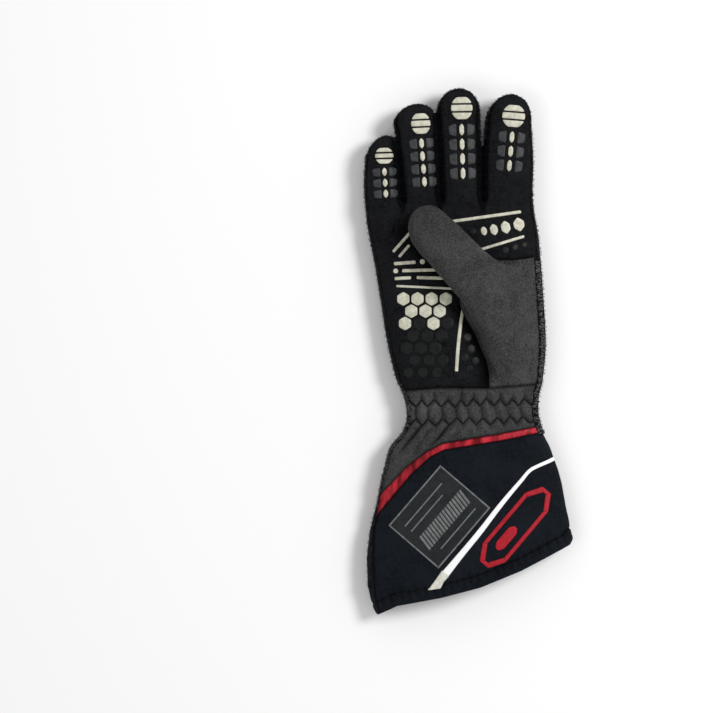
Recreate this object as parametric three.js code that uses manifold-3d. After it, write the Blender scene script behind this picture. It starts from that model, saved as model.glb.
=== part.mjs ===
// A gauntlet-style racing glove lying palm up, with its thumb folded over the palm.
//
// Frame: millimetres, +X towards the thumb side, +Y towards the fingertips, +Z up out of the palm.
// The origin is under the middle of the glove, on the surface that it lies on.
//
// The glove is sewn from panels, and every panel is a wall of its own with a small gap to its
// neighbours: a front and a back panel for the hand and fingers, side strips between the fingers, a
// suede palm patch that runs on into the thumb, a gathered wrist, a coloured band and a flared cuff.
// Whole tubes are lofted through short tables of sections, hollowed, and then cut along the seam lines.

import * as THREE from "three";
import { mergeVertices } from "three/addons/utils/BufferGeometryUtils.js";
import Module from "manifold-3d";

const wasm = await Module();
wasm.setup();

// Driving dimensions
const WALL = 2.0; // fabric with its fireproof lining
const GAP = 0.35; // between neighbouring panels
const SEAM_Z = 11; // height of the side seams above the surface
const FINGER_CURL = 4.5; // how far the side seam has risen at the longest fingertip
const CURL_START_Y = 95;
const CURL_END_Y = 168;
const FINGER_HALF_HEIGHT = 10.2;
const SIDE_STRIP_HALF = 4.2; // half the width of the strips between the fingers
const SIDE_STRIP_REACH = 5.2;
const WELT_RADIUS = 1.5; // the overlocked seam that stands out along both sides
const SEAM_INSET = 1.0; // a side with a welt stops this far inside the outline
const THUMB_SPLIT_Z = 25.5; // between the palm and the thumb that lies on it
const THUMB_UNDER_START = 24; // where the thumb's underside comes free, along the thumb
const TRIM_LIFT = 0.6; // a printed or taped trim stands this far off the cloth
const TRIM_THICKNESS = 0.6;
const PAD_THICKNESS = 0.9;
const EMBLEM_LINE = 2.6; // width of the emblem's outline

// Facets round a section, outside and in the hollow, and the fullness of its rounded shape
const PALM = { sides: 24, hollowSides: 20, power: 2.7 };
const FINGER = { sides: 12, hollowSides: 8, power: 2.6 };
const THUMB = { sides: 16, hollowSides: 12, power: 2.3 };
const CUFF = { sides: 32, hollowSides: 20, power: 2.2 };
const WRIST = { gathers: 20, hollowSides: 20, power: 2.4 };
const WELT_SIDES = 8;

// Past the glove on every side
const FAR = 260;
const HIGH = 90;

// Sections of the hand without its fingers: y, left, right, bottom, top
const HAND_ROWS = [
  [92.5, -65.2, 42.6, 1.0, 21.1],
  [84.0, -64.4, 43.6, 0.5, 22.6],
  [74.0, -63.0, 44.6, 0.2, 23.8],
  [60.3, -60.2, 46.1, 0.0, 24.4],
  [33.4, -55.7, 48.0, 0.0, 24.9],
  [1.4, -50.4, 49.3, 0.0, 24.9],
  [-17.8, -45.6, 47.4, 0.2, 24.0],
  [-32.0, -40.0, 44.8, 0.5, 23.0],
];
// Sections of the wrist: y, left, right, bottom, top, depth of the gathers
const WRIST_ROWS = [
  [-14.0, -46.8, 47.9, 0.3, 24.2, 0.0],
  [-25.4, -42.2, 45.4, 0.6, 23.4, 0.8],
  [-30.0, -40.4, 44.9, 1.4, 22.4, 0.8],
  [-36.5, -39.0, 44.8, 1.3, 23.4, 2.4],
  [-43.0, -38.9, 45.4, 1.4, 22.4, 0.8],
  [-50.0, -41.0, 47.4, 1.2, 22.8, 2.2],
  [-60.3, -49.3, 52.4, 0.9, 22.8, 1.7],
  [-74.0, -53.4, 57.2, 0.5, 23.0, 1.0],
  [-97.8, -58.3, 62.1, 0.2, 23.4, 0.4],
  [-118.0, -62.9, 66.4, 0.0, 23.8, 0.0],
];
// Sections of the cuff: y, left, right, bottom, top
const CUFF_ROWS = [
  [-38.0, -38.8, 44.8, 0.5, 23.0],
  [-50.0, -41.0, 47.4, 0.4, 23.2],
  [-60.3, -49.3, 52.4, 0.2, 23.0],
  [-74.0, -53.4, 57.2, 0.0, 23.0],
  [-97.8, -58.3, 62.1, 0.0, 23.4],
  [-118.0, -62.9, 66.6, 0.0, 23.8],
  [-133.0, -64.0, 69.5, 0.0, 24.0],
  [-176.0, -64.0, 74.0, 0.0, 24.0],
];
// Fingers: sections of y, left, right from the palm on, then where the rounded tip ends
const FINGERS = {
  index: {
    rows: [[68, 12.0, 36.0], [92, 9.8, 40.6], [130, 9.8, 40.2], [147, 10.9, 39.8]],
    tip: [27.3, 164.6],
  },
  middle: {
    rows: [[68, -17.5, 8.4], [92, -17.4, 8.3], [130, -18.9, 8.2], [153, -20.2, 7.3]],
    tip: [-5.9, 168.2],
  },
  ring: {
    rows: [[68, -41.0, -18.7], [92, -41.7, -18.7], [128, -45.5, -20.2], [144, -47.4, -21.7]],
    tip: [-32.4, 158.2],
  },
  little: {
    rows: [[68, -57.0, -42.2], [92, -64.4, -43.1], [112, -65.2, -45.2], [126, -64.8, -47.0]],
    tip: [-52.6, 138.2],
  },
};
// The thumb in its own frame, whose +Y runs along the thumb from its root: y, left, right, bottom, top
const THUMB_ROOT = [20.5, 25.8];
const THUMB_TURN_DEG = 43;
const THUMB_ROWS = [
  [68, -14.0, 19.4, 26.2, 45.6],
  [58, -15.2, 20.4, 26.2, 46.4],
  [40, -15.5, 20.8, 26.2, 46.6],
  [23, -15.8, 22.0, 26.0, 45.0],
  [12, -17.4, 22.6, 16.0, 43.0],
  [0, -20.8, 22.0, 9.0, 39.5],
  [-14, -26.4, 13.0, 8.0, 34.0],
  [-27, -33.0, -4.0, 9.0, 28.5],
  [-38, -33.0, -21.0, 14.0, 23.5],
];
const THUMB_TIP = [3.4, 84.4];
// A rounded tip: how far along it each section lies, as a share of its length
const TIP_STEPS = [1.0, 0.93, 0.75, 0.42];

// Seam between hand and wrist, from the little-finger side to the thumb side: x, y
const WRIST_SEAM = [
  [-80, -26.0],
  [-42.2, -24.8],
  [-17.9, -22.6],
  [14.1, -22.9],
  [44.2, -20.3],
  [80, -19.0],
];
// Coloured band between wrist and cuff: x, y, width
const BAND_LINE = [
  [-80, -125.0, 8.0],
  [-58.2, -98.0, 7.6],
  [-38.4, -75.7, 5.8],
  [-25.6, -65.0, 5.0],
  [-16.0, -60.2, 4.5],
  [20.5, -54.2, 4.5],
  [46.1, -49.1, 4.5],
  [80, -43.0, 4.5],
];
// Lower edge of the cuff: x, y
const MOUTH_LINE = [
  [-90, -150.0],
  [-64.2, -153.0],
  [-62.4, -159.6],
  [-57.6, -167.8],
  [-45.4, -161.8],
  [-17.9, -156.6],
  [7.7, -149.9],
  [33.3, -139.4],
  [65.4, -122.8],
  [67.4, -119.6],
  [90, -116.0],
];
// Edge of the suede on the palm, along the thumb and down to the wrist: x, y
const SUEDE_EDGE = [
  [80, 61.4],
  [18.6, 59.7],
  [8.0, 49.5],
  [-7.0, 33.5],
  [-2.4, 22.4],
  [3.4, 12.0],
  [7.4, 2.6],
  [11.2, -6.0],
  [12.8, -14.0],
  [13.4, -60.0],
  [80, -60.0],
];
// Round the thumb where it lies free above the palm: x, y
const THUMB_ZONE = [
  [26, 66],
  [2, 96],
  [-20, 104],
  [-44, 92],
  [-48, 62],
  [-10, 22],
];
// Strips between the fingers: where each starts and ends
const SIDE_STRIPS = {
  index_middle: { crotch: [9.0, 87], end: [9.2, 146] },
  middle_ring: { crotch: [-18.1, 87], end: [-20.7, 141] },
  ring_little: { crotch: [-42.4, 87], end: [-46.2, 123] },
};
// Overlocked welts down both sides: x, y
const THUMB_SIDE_WELT = [
  [40.6, 146.0],
  [41.4, 130.0],
  [41.8, 92.0],
  [44.8, 74.0],
  [46.1, 60.3],
  [48.0, 33.4],
  [49.3, 1.4],
  [47.4, -17.8],
  [44.9, -30.0],
  [44.9, -39.5],
  [46.2, -46.4],
];
const LITTLE_SIDE_WELT = [
  [-65.4, 126.0],
  [-66.3, 112.0],
  [-65.4, 92.0],
  [-63.0, 74.0],
  [-60.2, 60.3],
  [-55.7, 33.4],
  [-50.4, 1.4],
  [-45.6, -17.8],
  [-40.2, -30.0],
  [-38.8, -39.5],
  [-41.2, -50.0],
  [-49.3, -60.3],
  [-53.4, -74.0],
  [-58.3, -97.8],
  [-62.9, -118.0],
  [-64.0, -133.0],
  [-63.9, -152.0],
];
// Pale tape across the cuff: x, y, width
const TAPE_LINE = [
  [52.0, -69.4, 2.7],
  [46.1, -71.8, 2.8],
  [40.3, -74.6, 3.2],
  [33.3, -82.2, 4.0],
  [20.5, -97.5, 4.8],
  [7.7, -113.8, 5.0],
  [-5.1, -129.8, 5.4],
  [-14.1, -141.0, 6.0],
  [-19.6, -147.0, 4.6],
];
// Flat trims: centre, turn, and stations of how far along and how wide to each side
const halfOval = (half, length) =>
  [-0.94, -0.62, 0, 0.62, 0.94].map((t) => [t * length, half * Math.sqrt(1 - t * t)]);
const LABEL = {
  centre: [-18.6, -104.8],
  turnDeg: 49.5,
  stations: [[-21, 25.5], [-14, 25.5], [-7, 25.5], [0, 25.5], [7, 25.5], [14, 25.5], [21, 25.5]],
};
const EMBLEM = {
  centre: [29.8, -111.6],
  turnDeg: -40.5,
  stations: [[-31, 3.6], [-21, 9.5], [-10.5, 9.5], [0, 9.5], [10.5, 9.5], [21, 9.5], [31, 3.6]],
};
const TIP_PADS = {
  index: { centre: [28.4, 151.0], turnDeg: -4, stations: halfOval(7.2, 7.6) },
  middle: { centre: [-4.6, 155.2], turnDeg: 1, stations: halfOval(6.8, 7.8) },
  ring: { centre: [-30.6, 145.6], turnDeg: 3, stations: halfOval(6.0, 7.2) },
  little: { centre: [-53.8, 125.4], turnDeg: 2, stations: halfOval(5.2, 5.6) },
};

// Materials
const fabric = (colour, roughness) =>
  new THREE.MeshStandardMaterial({ color: colour, roughness, metalness: 0 });
const BLACK_KNIT = fabric(0x15161a, 0.92);
const CUFF_CLOTH = fabric(0x0e1016, 0.85);
const GREY_SUEDE = fabric(0x4b4a49, 0.97);
const SEAM_THREAD = fabric(0x1c1c1e, 0.95);
const RED_BAND = fabric(0xb01c2a, 0.6);
const PALE_TAPE = fabric(0xeeeeea, 0.45);
const LABEL_PRINT = fabric(0x35373b, 0.6);
const EMBLEM_PRINT = fabric(0xb5202e, 0.55);
const GRIP_PAD = fabric(0xd9d5c2, 0.4);

// Height of the side seam at a place along the glove
function seamHeight(y) {
  const t = Math.min(Math.max((y - CURL_START_Y) / (CURL_END_Y - CURL_START_Y), 0), 1);
  return SEAM_Z + FINGER_CURL * t * t;
}

// A closed three.js geometry as a solid that can be joined and cut
function solid(geometry) {
  const bare = geometry.index ? geometry.toNonIndexed() : geometry.clone();
  bare.deleteAttribute("normal");
  bare.deleteAttribute("uv");
  const merged = mergeVertices(bare, 1e-4);
  const mesh = new wasm.Mesh({
    numProp: 3,
    vertProperties: new Float32Array(merged.attributes.position.array),
    triVerts: new Uint32Array(merged.index.array),
  });
  const made = new wasm.Manifold(mesh);
  if (made.volume() < 0) throw new Error("a profile runs the wrong way round");
  return made;
}

const join = (solids) => solids.reduce((a, b) => a.add(b));

// A rounded section with a flat facet at its top, bottom and sides, each at the row's exact size
function roundedSection(sides, power) {
  const bend = (value) => Math.sign(value) * Math.abs(value) ** (2 / power);
  const reach = bend(Math.cos(Math.PI / sides));
  return ([y, left, right, bottom, top, seam]) =>
    Array.from({ length: sides }, (_, k) => {
      const angle = (2 * Math.PI * (k + 0.5)) / sides;
      const across = bend(Math.cos(angle)) / reach;
      const up = bend(Math.sin(angle)) / reach;
      const z = up > 0 ? seam + (top - seam) * up : seam + (seam - bottom) * up;
      return new THREE.Vector3((left + right) / 2 + ((right - left) / 2) * across, y, z);
    });
}

// A section gathered by elastic, whose ridges and grooves follow each other at even steps across
function gatheredSection(gathers, power) {
  return ([y, left, right, bottom, top, seam, depth]) => {
    const point = (step, height) => {
      const u = 1 - (2 * step) / gathers;
      const bulge = (1 - Math.abs(u) ** power) ** (1 / power);
      const groove = step % 2 ? depth / 2 : -depth / 2;
      const x = (left + right) / 2 + ((right - left) / 2) * u;
      return new THREE.Vector3(x, y, seam + Math.sign(height) * (Math.abs(height) - groove) * bulge);
    };
    const over = Array.from({ length: gathers }, (_, i) => point(i, top - seam));
    const under = Array.from({ length: gathers }, (_, i) => point(gathers - i, bottom - seam));
    return [...over, ...under];
  };
}

// A closed tube through rows in order of falling y
function tube(rows, section) {
  const rings = rows.map(section);
  const sides = rings[0].length;
  const points = rings.flat();
  const at = (r, k) => r * sides + (k % sides);
  const index = [];
  for (let r = 0; r + 1 < rings.length; r++)
    for (let k = 0; k < sides; k++) {
      index.push(at(r, k), at(r, k + 1), at(r + 1, k + 1));
      index.push(at(r, k), at(r + 1, k + 1), at(r + 1, k));
    }
  const last = rings.length - 1;
  const middle = ([y, left, right, , , seam]) => new THREE.Vector3((left + right) / 2, y, seam);
  const head = points.push(middle(rows[0])) - 1;
  const tail = points.push(middle(rows[last])) - 1;
  for (let k = 0; k < sides; k++) {
    index.push(head, at(0, k + 1), at(0, k));
    index.push(tail, at(last, k), at(last, k + 1));
  }
  const geometry = new THREE.BufferGeometry().setFromPoints(points);
  geometry.setIndex(index);
  return geometry;
}

// Rows of y, left, right, bottom, top with the seam put in, and a side that carries a welt taken in
const sewn = (rows, atLeft, atRight) =>
  rows.map(([y, left, right, bottom, top, ...rest]) => [
    y,
    left + atLeft,
    right - atRight,
    bottom,
    top,
    seamHeight(y),
    ...rest,
  ]);

// The same rows taken in by a wall on every side
const inset = (rows, wall) =>
  rows.map(([y, left, right, bottom, top, seam]) => [
    y,
    left + wall,
    right - wall,
    Math.min(bottom + wall, seam - 0.2),
    Math.max(top - wall, seam + 0.2),
    seam,
  ]);

// Rows that round a tube off towards a tip [x, y], from the tip back to the first full row
function roundedTip([y, left, right, bottom, top, seam], tip, risen) {
  return TIP_STEPS.map((t) => {
    const wide = Math.max(Math.sqrt(1 - t * t), 0.12);
    const tall = Math.max(Math.sqrt(1 - t ** 2.6), 0.14);
    const yHere = y + (tip[1] - y) * t;
    const rise = risen(yHere) - risen(y);
    const middle = (left + right) / 2 + (tip[0] - (left + right) / 2) * t;
    const half = ((right - left) / 2) * wide;
    return [
      yHere,
      middle - half,
      middle + half,
      seam + rise - (seam - bottom) * tall,
      seam + rise + (top - seam) * tall,
      seam + rise,
    ];
  });
}

// A tube from full rows and a rounded tip, solid where the wall is 0 and the hollow where it isn't
function tippedTube(full, tip, wall, risen, { sides, hollowSides, power }) {
  const body = inset(full, wall);
  const rows = [...roundedTip(body[0], [tip[0], tip[1] - wall], risen), ...body];
  return tube(rows, roundedSection(wall ? hollowSides : sides, power));
}

// Vertical prism over a flat outline
function prism(outline, low, high) {
  const shape = new THREE.Shape(outline.map(([x, y]) => new THREE.Vector2(x, y)));
  const geometry = new THREE.ExtrudeGeometry(shape, { depth: high - low, bevelEnabled: false });
  geometry.translate(0, 0, low);
  return solid(geometry);
}

// Everything between two heights, given as functions of y, over the whole glove
function layer(low, high) {
  const stations = [-FAR, CURL_START_Y, 110, 122, 134, 146, 156, CURL_END_Y, FAR];
  const profile = [
    ...stations.map((y) => new THREE.Vector2(y, low(y))),
    ...stations.map((y) => new THREE.Vector2(y, high(y))).reverse(),
  ];
  const options = { depth: 2 * FAR, bevelEnabled: false };
  const geometry = new THREE.ExtrudeGeometry(new THREE.Shape(profile), options);
  // The profile was drawn in Y and Z and runs along X.
  const axes = [new THREE.Vector3(0, 1, 0), new THREE.Vector3(0, 0, 1), new THREE.Vector3(1, 0, 0)];
  geometry.applyMatrix4(new THREE.Matrix4().makeBasis(...axes));
  geometry.translate(-FAR, 0, 0);
  return solid(geometry);
}

// Outline of a strip along a line of [x, y, width], with a margin on both sides
function stripOutline(line, margin) {
  const side = (sign) =>
    line.map(([x, y, width], i) => {
      const before = line[Math.max(i - 1, 0)];
      const after = line[Math.min(i + 1, line.length - 1)];
      const along = new THREE.Vector2(after[0] - before[0], after[1] - before[1]).normalize();
      const off = sign * (width / 2 + margin);
      return [x - along.y * off, y + along.x * off];
    });
  return [...side(-1), ...side(1).reverse()];
}

// Everything on one side of a seam line that runs across the glove, moved by a shift in y
function beyond(line, far, shift) {
  const edge = line.map(([x, y]) => [x, y + shift]);
  return prism([...edge, [line[line.length - 1][0], far], [line[0][0], far]], -HIGH, HIGH);
}

// A welt as a round cord along one side, at the height of the seam
function welt(line, side, radius) {
  const points = line.map(([x, y]) => new THREE.Vector3(x - side * WELT_RADIUS, y, seamHeight(y)));
  const section = new THREE.Shape();
  section.absarc(0, 0, radius, 0, 2 * Math.PI, false);
  return solid(
    new THREE.ExtrudeGeometry(section, {
      steps: 2 * (line.length - 1),
      curveSegments: WELT_SIDES / 2,
      extrudePath: new THREE.CatmullRomCurve3(points, false, "centripetal"),
    }),
  );
}

// A thin plate over rows of [x, y], which follows the cloth below it
function trimPlate(rows, cloth, thickness) {
  const ray = new THREE.Raycaster();
  const down = new THREE.Vector3(0, 0, -1);
  const onCloth = ([x, y]) => {
    ray.set(new THREE.Vector3(x, y, HIGH), down);
    const hit = ray.intersectObject(cloth)[0];
    if (!hit) throw new Error("a trim reaches past its cloth at " + x + ", " + y);
    return new THREE.Vector3(x, y, hit.point.z + TRIM_LIFT);
  };
  const columns = rows[0].length;
  const under = rows.flat().map(onCloth);
  const over = under.map((p) => p.clone().setZ(p.z + thickness));
  const n = under.length;
  const index = [];
  const quad = (a, b, c, d) => index.push(a, b, c, a, c, d);
  for (let r = 0; r + 1 < rows.length; r++)
    for (let c = 0; c + 1 < columns; c++) {
      const a = r * columns + c;
      quad(n + a, n + a + 1, n + a + columns + 1, n + a + columns);
      quad(a, a + columns, a + columns + 1, a + 1);
    }
  const rim = [];
  const end = rows.length - 1;
  for (let c = 0; c + 1 < columns; c++) rim.push(c);
  for (let r = 0; r < end; r++) rim.push(r * columns + columns - 1);
  for (let c = columns - 1; c > 0; c--) rim.push(end * columns + c);
  for (let r = end; r > 0; r--) rim.push(r * columns);
  rim.forEach((a, i) => {
    const b = rim[(i + 1) % rim.length];
    quad(a, b, n + b, n + a);
  });
  const geometry = new THREE.BufferGeometry().setFromPoints([...under, ...over]);
  geometry.setIndex(index);
  return solid(geometry);
}

// A point given along and across a trim, turned and moved to its place
function placed({ centre, turnDeg }, along, across) {
  const p = new THREE.Vector2(across, along);
  p.rotateAround(new THREE.Vector2(0, 0), THREE.MathUtils.degToRad(turnDeg));
  return [centre[0] + p.x, centre[1] + p.y];
}

// Rows of points over a flat trim, one row for each station
const stationRows = (trim, columns) =>
  trim.stations.map(([along, half]) =>
    Array.from({ length: columns + 1 }, (_, i) => placed(trim, along, half * ((2 * i) / columns - 1))),
  );

// Rows of points along a tape: one edge, the middle and the other edge
function tapeRows(line, parts) {
  const fine = line.flatMap((point, i) => {
    const next = line[i + 1];
    if (!next) return [point];
    const part = (k) => point.map((value, axis) => value + ((next[axis] - value) * k) / parts);
    return Array.from({ length: parts }, (_, k) => part(k));
  });
  const outline = stripOutline(fine, 0);
  return fine.map(([x, y], i) => [outline[outline.length - 1 - i], [x, y], outline[i]]);
}

// What is cut out of a flat trim to leave only its outline
function trimOpening(trim, line) {
  const length = trim.stations[trim.stations.length - 1][0];
  const edge = (side) =>
    trim.stations.map(([along, half]) => placed(trim, along * (1 - line / length), side * (half - line)));
  return prism([...edge(1), ...edge(-1).reverse()], -HIGH, HIGH);
}

// Hand: palm, four fingers and thumb, solid where the wall is 0 and the hollow where it isn't
function palmSolid(wall) {
  const [[y, ...first], ...rest] = inset(sewn(HAND_ROWS, SEAM_INSET, SEAM_INSET), wall);
  const section = roundedSection(wall ? PALM.hollowSides : PALM.sides, PALM.power);
  return solid(tube([[y - wall, ...first], ...rest], section));
}

function fingerSolid({ rows, tip }, wall) {
  const full = rows.map(([y, left, right]) => {
    const seam = seamHeight(y);
    return [y, left, right, seam - FINGER_HALF_HEIGHT, seam + FINGER_HALF_HEIGHT, seam];
  });
  return solid(tippedTube(full.reverse(), tip, wall, seamHeight, FINGER));
}

// Puts what is made in the thumb's own frame where the thumb lies
function onThumb(geometry) {
  geometry.rotateZ(THREE.MathUtils.degToRad(THUMB_TURN_DEG));
  geometry.translate(THUMB_ROOT[0], THUMB_ROOT[1], 0);
  return solid(geometry);
}

function thumbSolid(wall) {
  const full = THUMB_ROWS.map((row) => [...row, (row[3] + row[4]) / 2]);
  return onThumb(tippedTube(full, THUMB_TIP, wall, () => 0, THUMB));
}

const hand = (wall) =>
  join([palmSolid(wall), ...Object.values(FINGERS).map((f) => fingerSolid(f, wall)), thumbSolid(wall)]);
const handShell = hand(0).subtract(hand(WALL));

// The rows of a hollow, run on past both ends so that it opens them
function openEnded(rows) {
  const past = ([y, ...rest], by) => [y + by, ...rest];
  return [past(rows[0], 8), ...rows.slice(1, -1), past(rows[rows.length - 1], -8)];
}

const wristRows = sewn(WRIST_ROWS, SEAM_INSET, SEAM_INSET);
const cuffRows = sewn(CUFF_ROWS, SEAM_INSET, 0);
const wristTube = solid(tube(wristRows, gatheredSection(WRIST.gathers, WRIST.power))).subtract(
  solid(tube(openEnded(inset(wristRows, WALL)), roundedSection(WRIST.hollowSides, WRIST.power))),
);
const cuffTube = solid(tube(cuffRows, roundedSection(CUFF.sides, CUFF.power))).subtract(
  solid(tube(openEnded(inset(cuffRows, WALL)), roundedSection(CUFF.hollowSides, CUFF.power))),
);

// Cutting solids
const onHand = beyond(WRIST_SEAM, FAR, GAP / 2);
const belowHand = beyond(WRIST_SEAM, -FAR, -GAP / 2);
const belowBand = beyond(BAND_LINE, -FAR, 0);
const band = prism(stripOutline(BAND_LINE, 0), -HIGH, HIGH);
const bandRoom = prism(stripOutline(BAND_LINE, GAP), -HIGH, HIGH);
const aboveMouth = beyond(MOUTH_LINE, FAR, 0);
const front = layer((y) => seamHeight(y) + GAP / 2, () => HIGH);
const back = layer(() => -HIGH, (y) => seamHeight(y) - GAP / 2);
const freeThumb = (margin) => prism(THUMB_ZONE, THUMB_SPLIT_Z - margin, HIGH);

function suedeZone(margin) {
  const outline = SUEDE_EDGE.map(([x, y], i) => (i < 2 ? [x, y + margin] : [x - margin, y + margin / 2]));
  return prism(outline, -HIGH, HIGH).add(freeThumb(margin));
}

function sideStripZone({ crotch, end }, margin) {
  const reach = SIDE_STRIP_REACH + margin;
  const outline = [
    [crotch[0] - reach, crotch[1] - margin],
    [crotch[0] + reach, crotch[1] - margin],
    [end[0] + reach, end[1] + margin],
    [end[0] - reach, end[1] + margin],
  ];
  const half = SIDE_STRIP_HALF + margin;
  const tall = layer((y) => seamHeight(y) - half, (y) => seamHeight(y) + half);
  return prism(outline, -HIGH, HIGH).intersect(tall);
}

// The thumb's underside, from where it comes free of the palm to its tip
function thumbUnderZone(margin) {
  const [, , , bottom, top] = THUMB_ROWS[0];
  const height = (bottom + top) / 2 + margin;
  const geometry = new THREE.BoxGeometry(90, 90, height);
  geometry.translate(0, THUMB_UNDER_START + 45 - margin, height / 2);
  return onThumb(geometry).intersect(freeThumb(margin));
}

const thumbSideWelt = (radius) => welt(THUMB_SIDE_WELT, 1, radius);
const littleSideWelt = (radius) => welt(LITTLE_SIDE_WELT, -1, radius);
const weltRoom = thumbSideWelt(WELT_RADIUS + GAP).add(littleSideWelt(WELT_RADIUS + GAP));
const stripRoom = join(Object.values(SIDE_STRIPS).map((strip) => sideStripZone(strip, GAP)));

// Panels of cloth
const handPanels = handShell.intersect(onHand).subtract(weltRoom);
const blackPanels = handPanels.subtract(stripRoom);
const suede = handPanels.intersect(front).intersect(suedeZone(0));
const wrist = wristTube.intersect(belowHand).subtract(belowBand).subtract(bandRoom).subtract(weltRoom);
const redBand = cuffTube.intersect(band).subtract(weltRoom);
const cuff = cuffTube.intersect(belowBand).intersect(aboveMouth).subtract(bandRoom).subtract(weltRoom);

// Only the largest body of a cut is kept: a sliver that a seam leaves behind isn't a panel
const largest = (cut) => cut.decompose().reduce((a, b) => (b.volume() > a.volume() ? b : a));

const glove = new THREE.Group();

function addPiece(name, material, cut) {
  const { numProp, vertProperties, triVerts } = largest(cut).getMesh();
  const count = vertProperties.length / numProp;
  const positions = new Float32Array(3 * count);
  for (let i = 0; i < count; i++)
    positions.set(vertProperties.subarray(i * numProp, i * numProp + 3), 3 * i);
  const geometry = new THREE.BufferGeometry();
  geometry.setAttribute("position", new THREE.BufferAttribute(positions, 3));
  geometry.setIndex(new THREE.BufferAttribute(new Uint32Array(triVerts), 1));
  geometry.computeVertexNormals();
  const mesh = new THREE.Mesh(geometry, material);
  mesh.name = name;
  glove.add(mesh);
  return mesh;
}

// Hand
const frontPanel = addPiece(
  "front_panel",
  BLACK_KNIT,
  blackPanels.intersect(front).subtract(suedeZone(GAP)),
);
addPiece("back_panel", BLACK_KNIT, blackPanels.intersect(back));
for (const [name, strip] of Object.entries(SIDE_STRIPS))
  addPiece("side_strip_" + name, BLACK_KNIT, handShell.intersect(sideStripZone(strip, 0)));
addPiece("suede_palm_and_thumb", GREY_SUEDE, suede.subtract(thumbUnderZone(GAP)));
addPiece("thumb_underside", GREY_SUEDE, suede.intersect(thumbUnderZone(0)));

// Wrist, band and cuff
addPiece("wrist_front", GREY_SUEDE, wrist.intersect(front));
addPiece("wrist_back", GREY_SUEDE, wrist.intersect(back));
addPiece("red_band_front", RED_BAND, redBand.intersect(front));
addPiece("red_band_back", RED_BAND, redBand.intersect(back));
const cuffFront = addPiece("cuff_front", CUFF_CLOTH, cuff.intersect(front));
addPiece("cuff_back", CUFF_CLOTH, cuff.intersect(back));

// Seams and trims
addPiece("welt_thumb_side", SEAM_THREAD, thumbSideWelt(WELT_RADIUS));
addPiece("welt_little_side", SEAM_THREAD, littleSideWelt(WELT_RADIUS).intersect(aboveMouth));
addPiece("pale_tape", PALE_TAPE, trimPlate(tapeRows(TAPE_LINE, 3), cuffFront, TRIM_THICKNESS));
addPiece("label_print", LABEL_PRINT, trimPlate(stationRows(LABEL, 7), cuffFront, TRIM_THICKNESS));
const emblemPlate = trimPlate(stationRows(EMBLEM, 3), cuffFront, TRIM_THICKNESS);
addPiece("emblem_print", EMBLEM_PRINT, emblemPlate.subtract(trimOpening(EMBLEM, EMBLEM_LINE)));
for (const [name, pad] of Object.entries(TIP_PADS))
  addPiece("tip_pad_" + name, GRIP_PAD, trimPlate(stationRows(pad, 4), frontPanel, PAD_THICKNESS));

export default glove;
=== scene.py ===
"""A gauntlet-style racing glove lying palm up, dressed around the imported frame.

Tables are in millimetres in the row's frame: +X towards the thumb side, +Y towards the fingertips,
+Z up out of the palm. Meshes are made in metres.
"""

import math

import bpy
import numpy as np
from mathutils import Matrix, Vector
from mathutils.bvhtree import BVHTree
from mathutils.geometry import delaunay_2d_cdt


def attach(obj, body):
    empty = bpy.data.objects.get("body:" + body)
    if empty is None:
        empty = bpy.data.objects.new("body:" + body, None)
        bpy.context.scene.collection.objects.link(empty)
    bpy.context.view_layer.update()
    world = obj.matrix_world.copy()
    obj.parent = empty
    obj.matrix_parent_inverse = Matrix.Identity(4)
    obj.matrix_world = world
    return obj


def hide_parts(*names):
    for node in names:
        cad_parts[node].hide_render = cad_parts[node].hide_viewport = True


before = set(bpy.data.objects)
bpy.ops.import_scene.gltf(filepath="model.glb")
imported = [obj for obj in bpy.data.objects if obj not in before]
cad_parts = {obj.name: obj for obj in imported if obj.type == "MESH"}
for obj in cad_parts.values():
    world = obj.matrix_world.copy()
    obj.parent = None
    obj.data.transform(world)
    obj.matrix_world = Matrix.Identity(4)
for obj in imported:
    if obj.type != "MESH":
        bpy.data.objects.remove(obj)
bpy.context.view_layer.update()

MM = 0.001
# How fine the skins and sleeves are
STEPS = ((0.8, 0.7, 0.55, 0.85, 0.5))
HAND_VOXEL, SUEDE_VOXEL, WRIST_STEP, CUFF_STEP, BAND_STEP = STEPS

# Driving dimensions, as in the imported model, but for a narrower thumb and tape and fuller small fingers
SEAM_Z = 11.0
FINGER_CURL = 4.5
CURL_START_Y = 95.0
CURL_END_Y = 168.0
FINGER_HALF_HEIGHT = 10.2
SEAM_INSET = 1.0
THUMB_ROOT = (20.5, 25.8)
THUMB_TURN = math.radians(43)
THUMB_SPLIT_Z = 25.6
THUMB_UNDER_START = 24.0
# The seam round the thumb: its height, and where along the thumb it starts
THUMB_SEAM_Z = 36.4
THUMB_SEAM_START = 20
THUMB_HALF_WIDTH = 13.2
# Nothing lies lower than this.
FLOOR_GAP = 0.02
# How square the sections are, where 2 is an oval
PALM_POWER, FINGER_POWER, THUMB_POWER, WRIST_POWER, CUFF_POWER = 2.7, 2.6, 2.3, 2.6, 2.2

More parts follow.
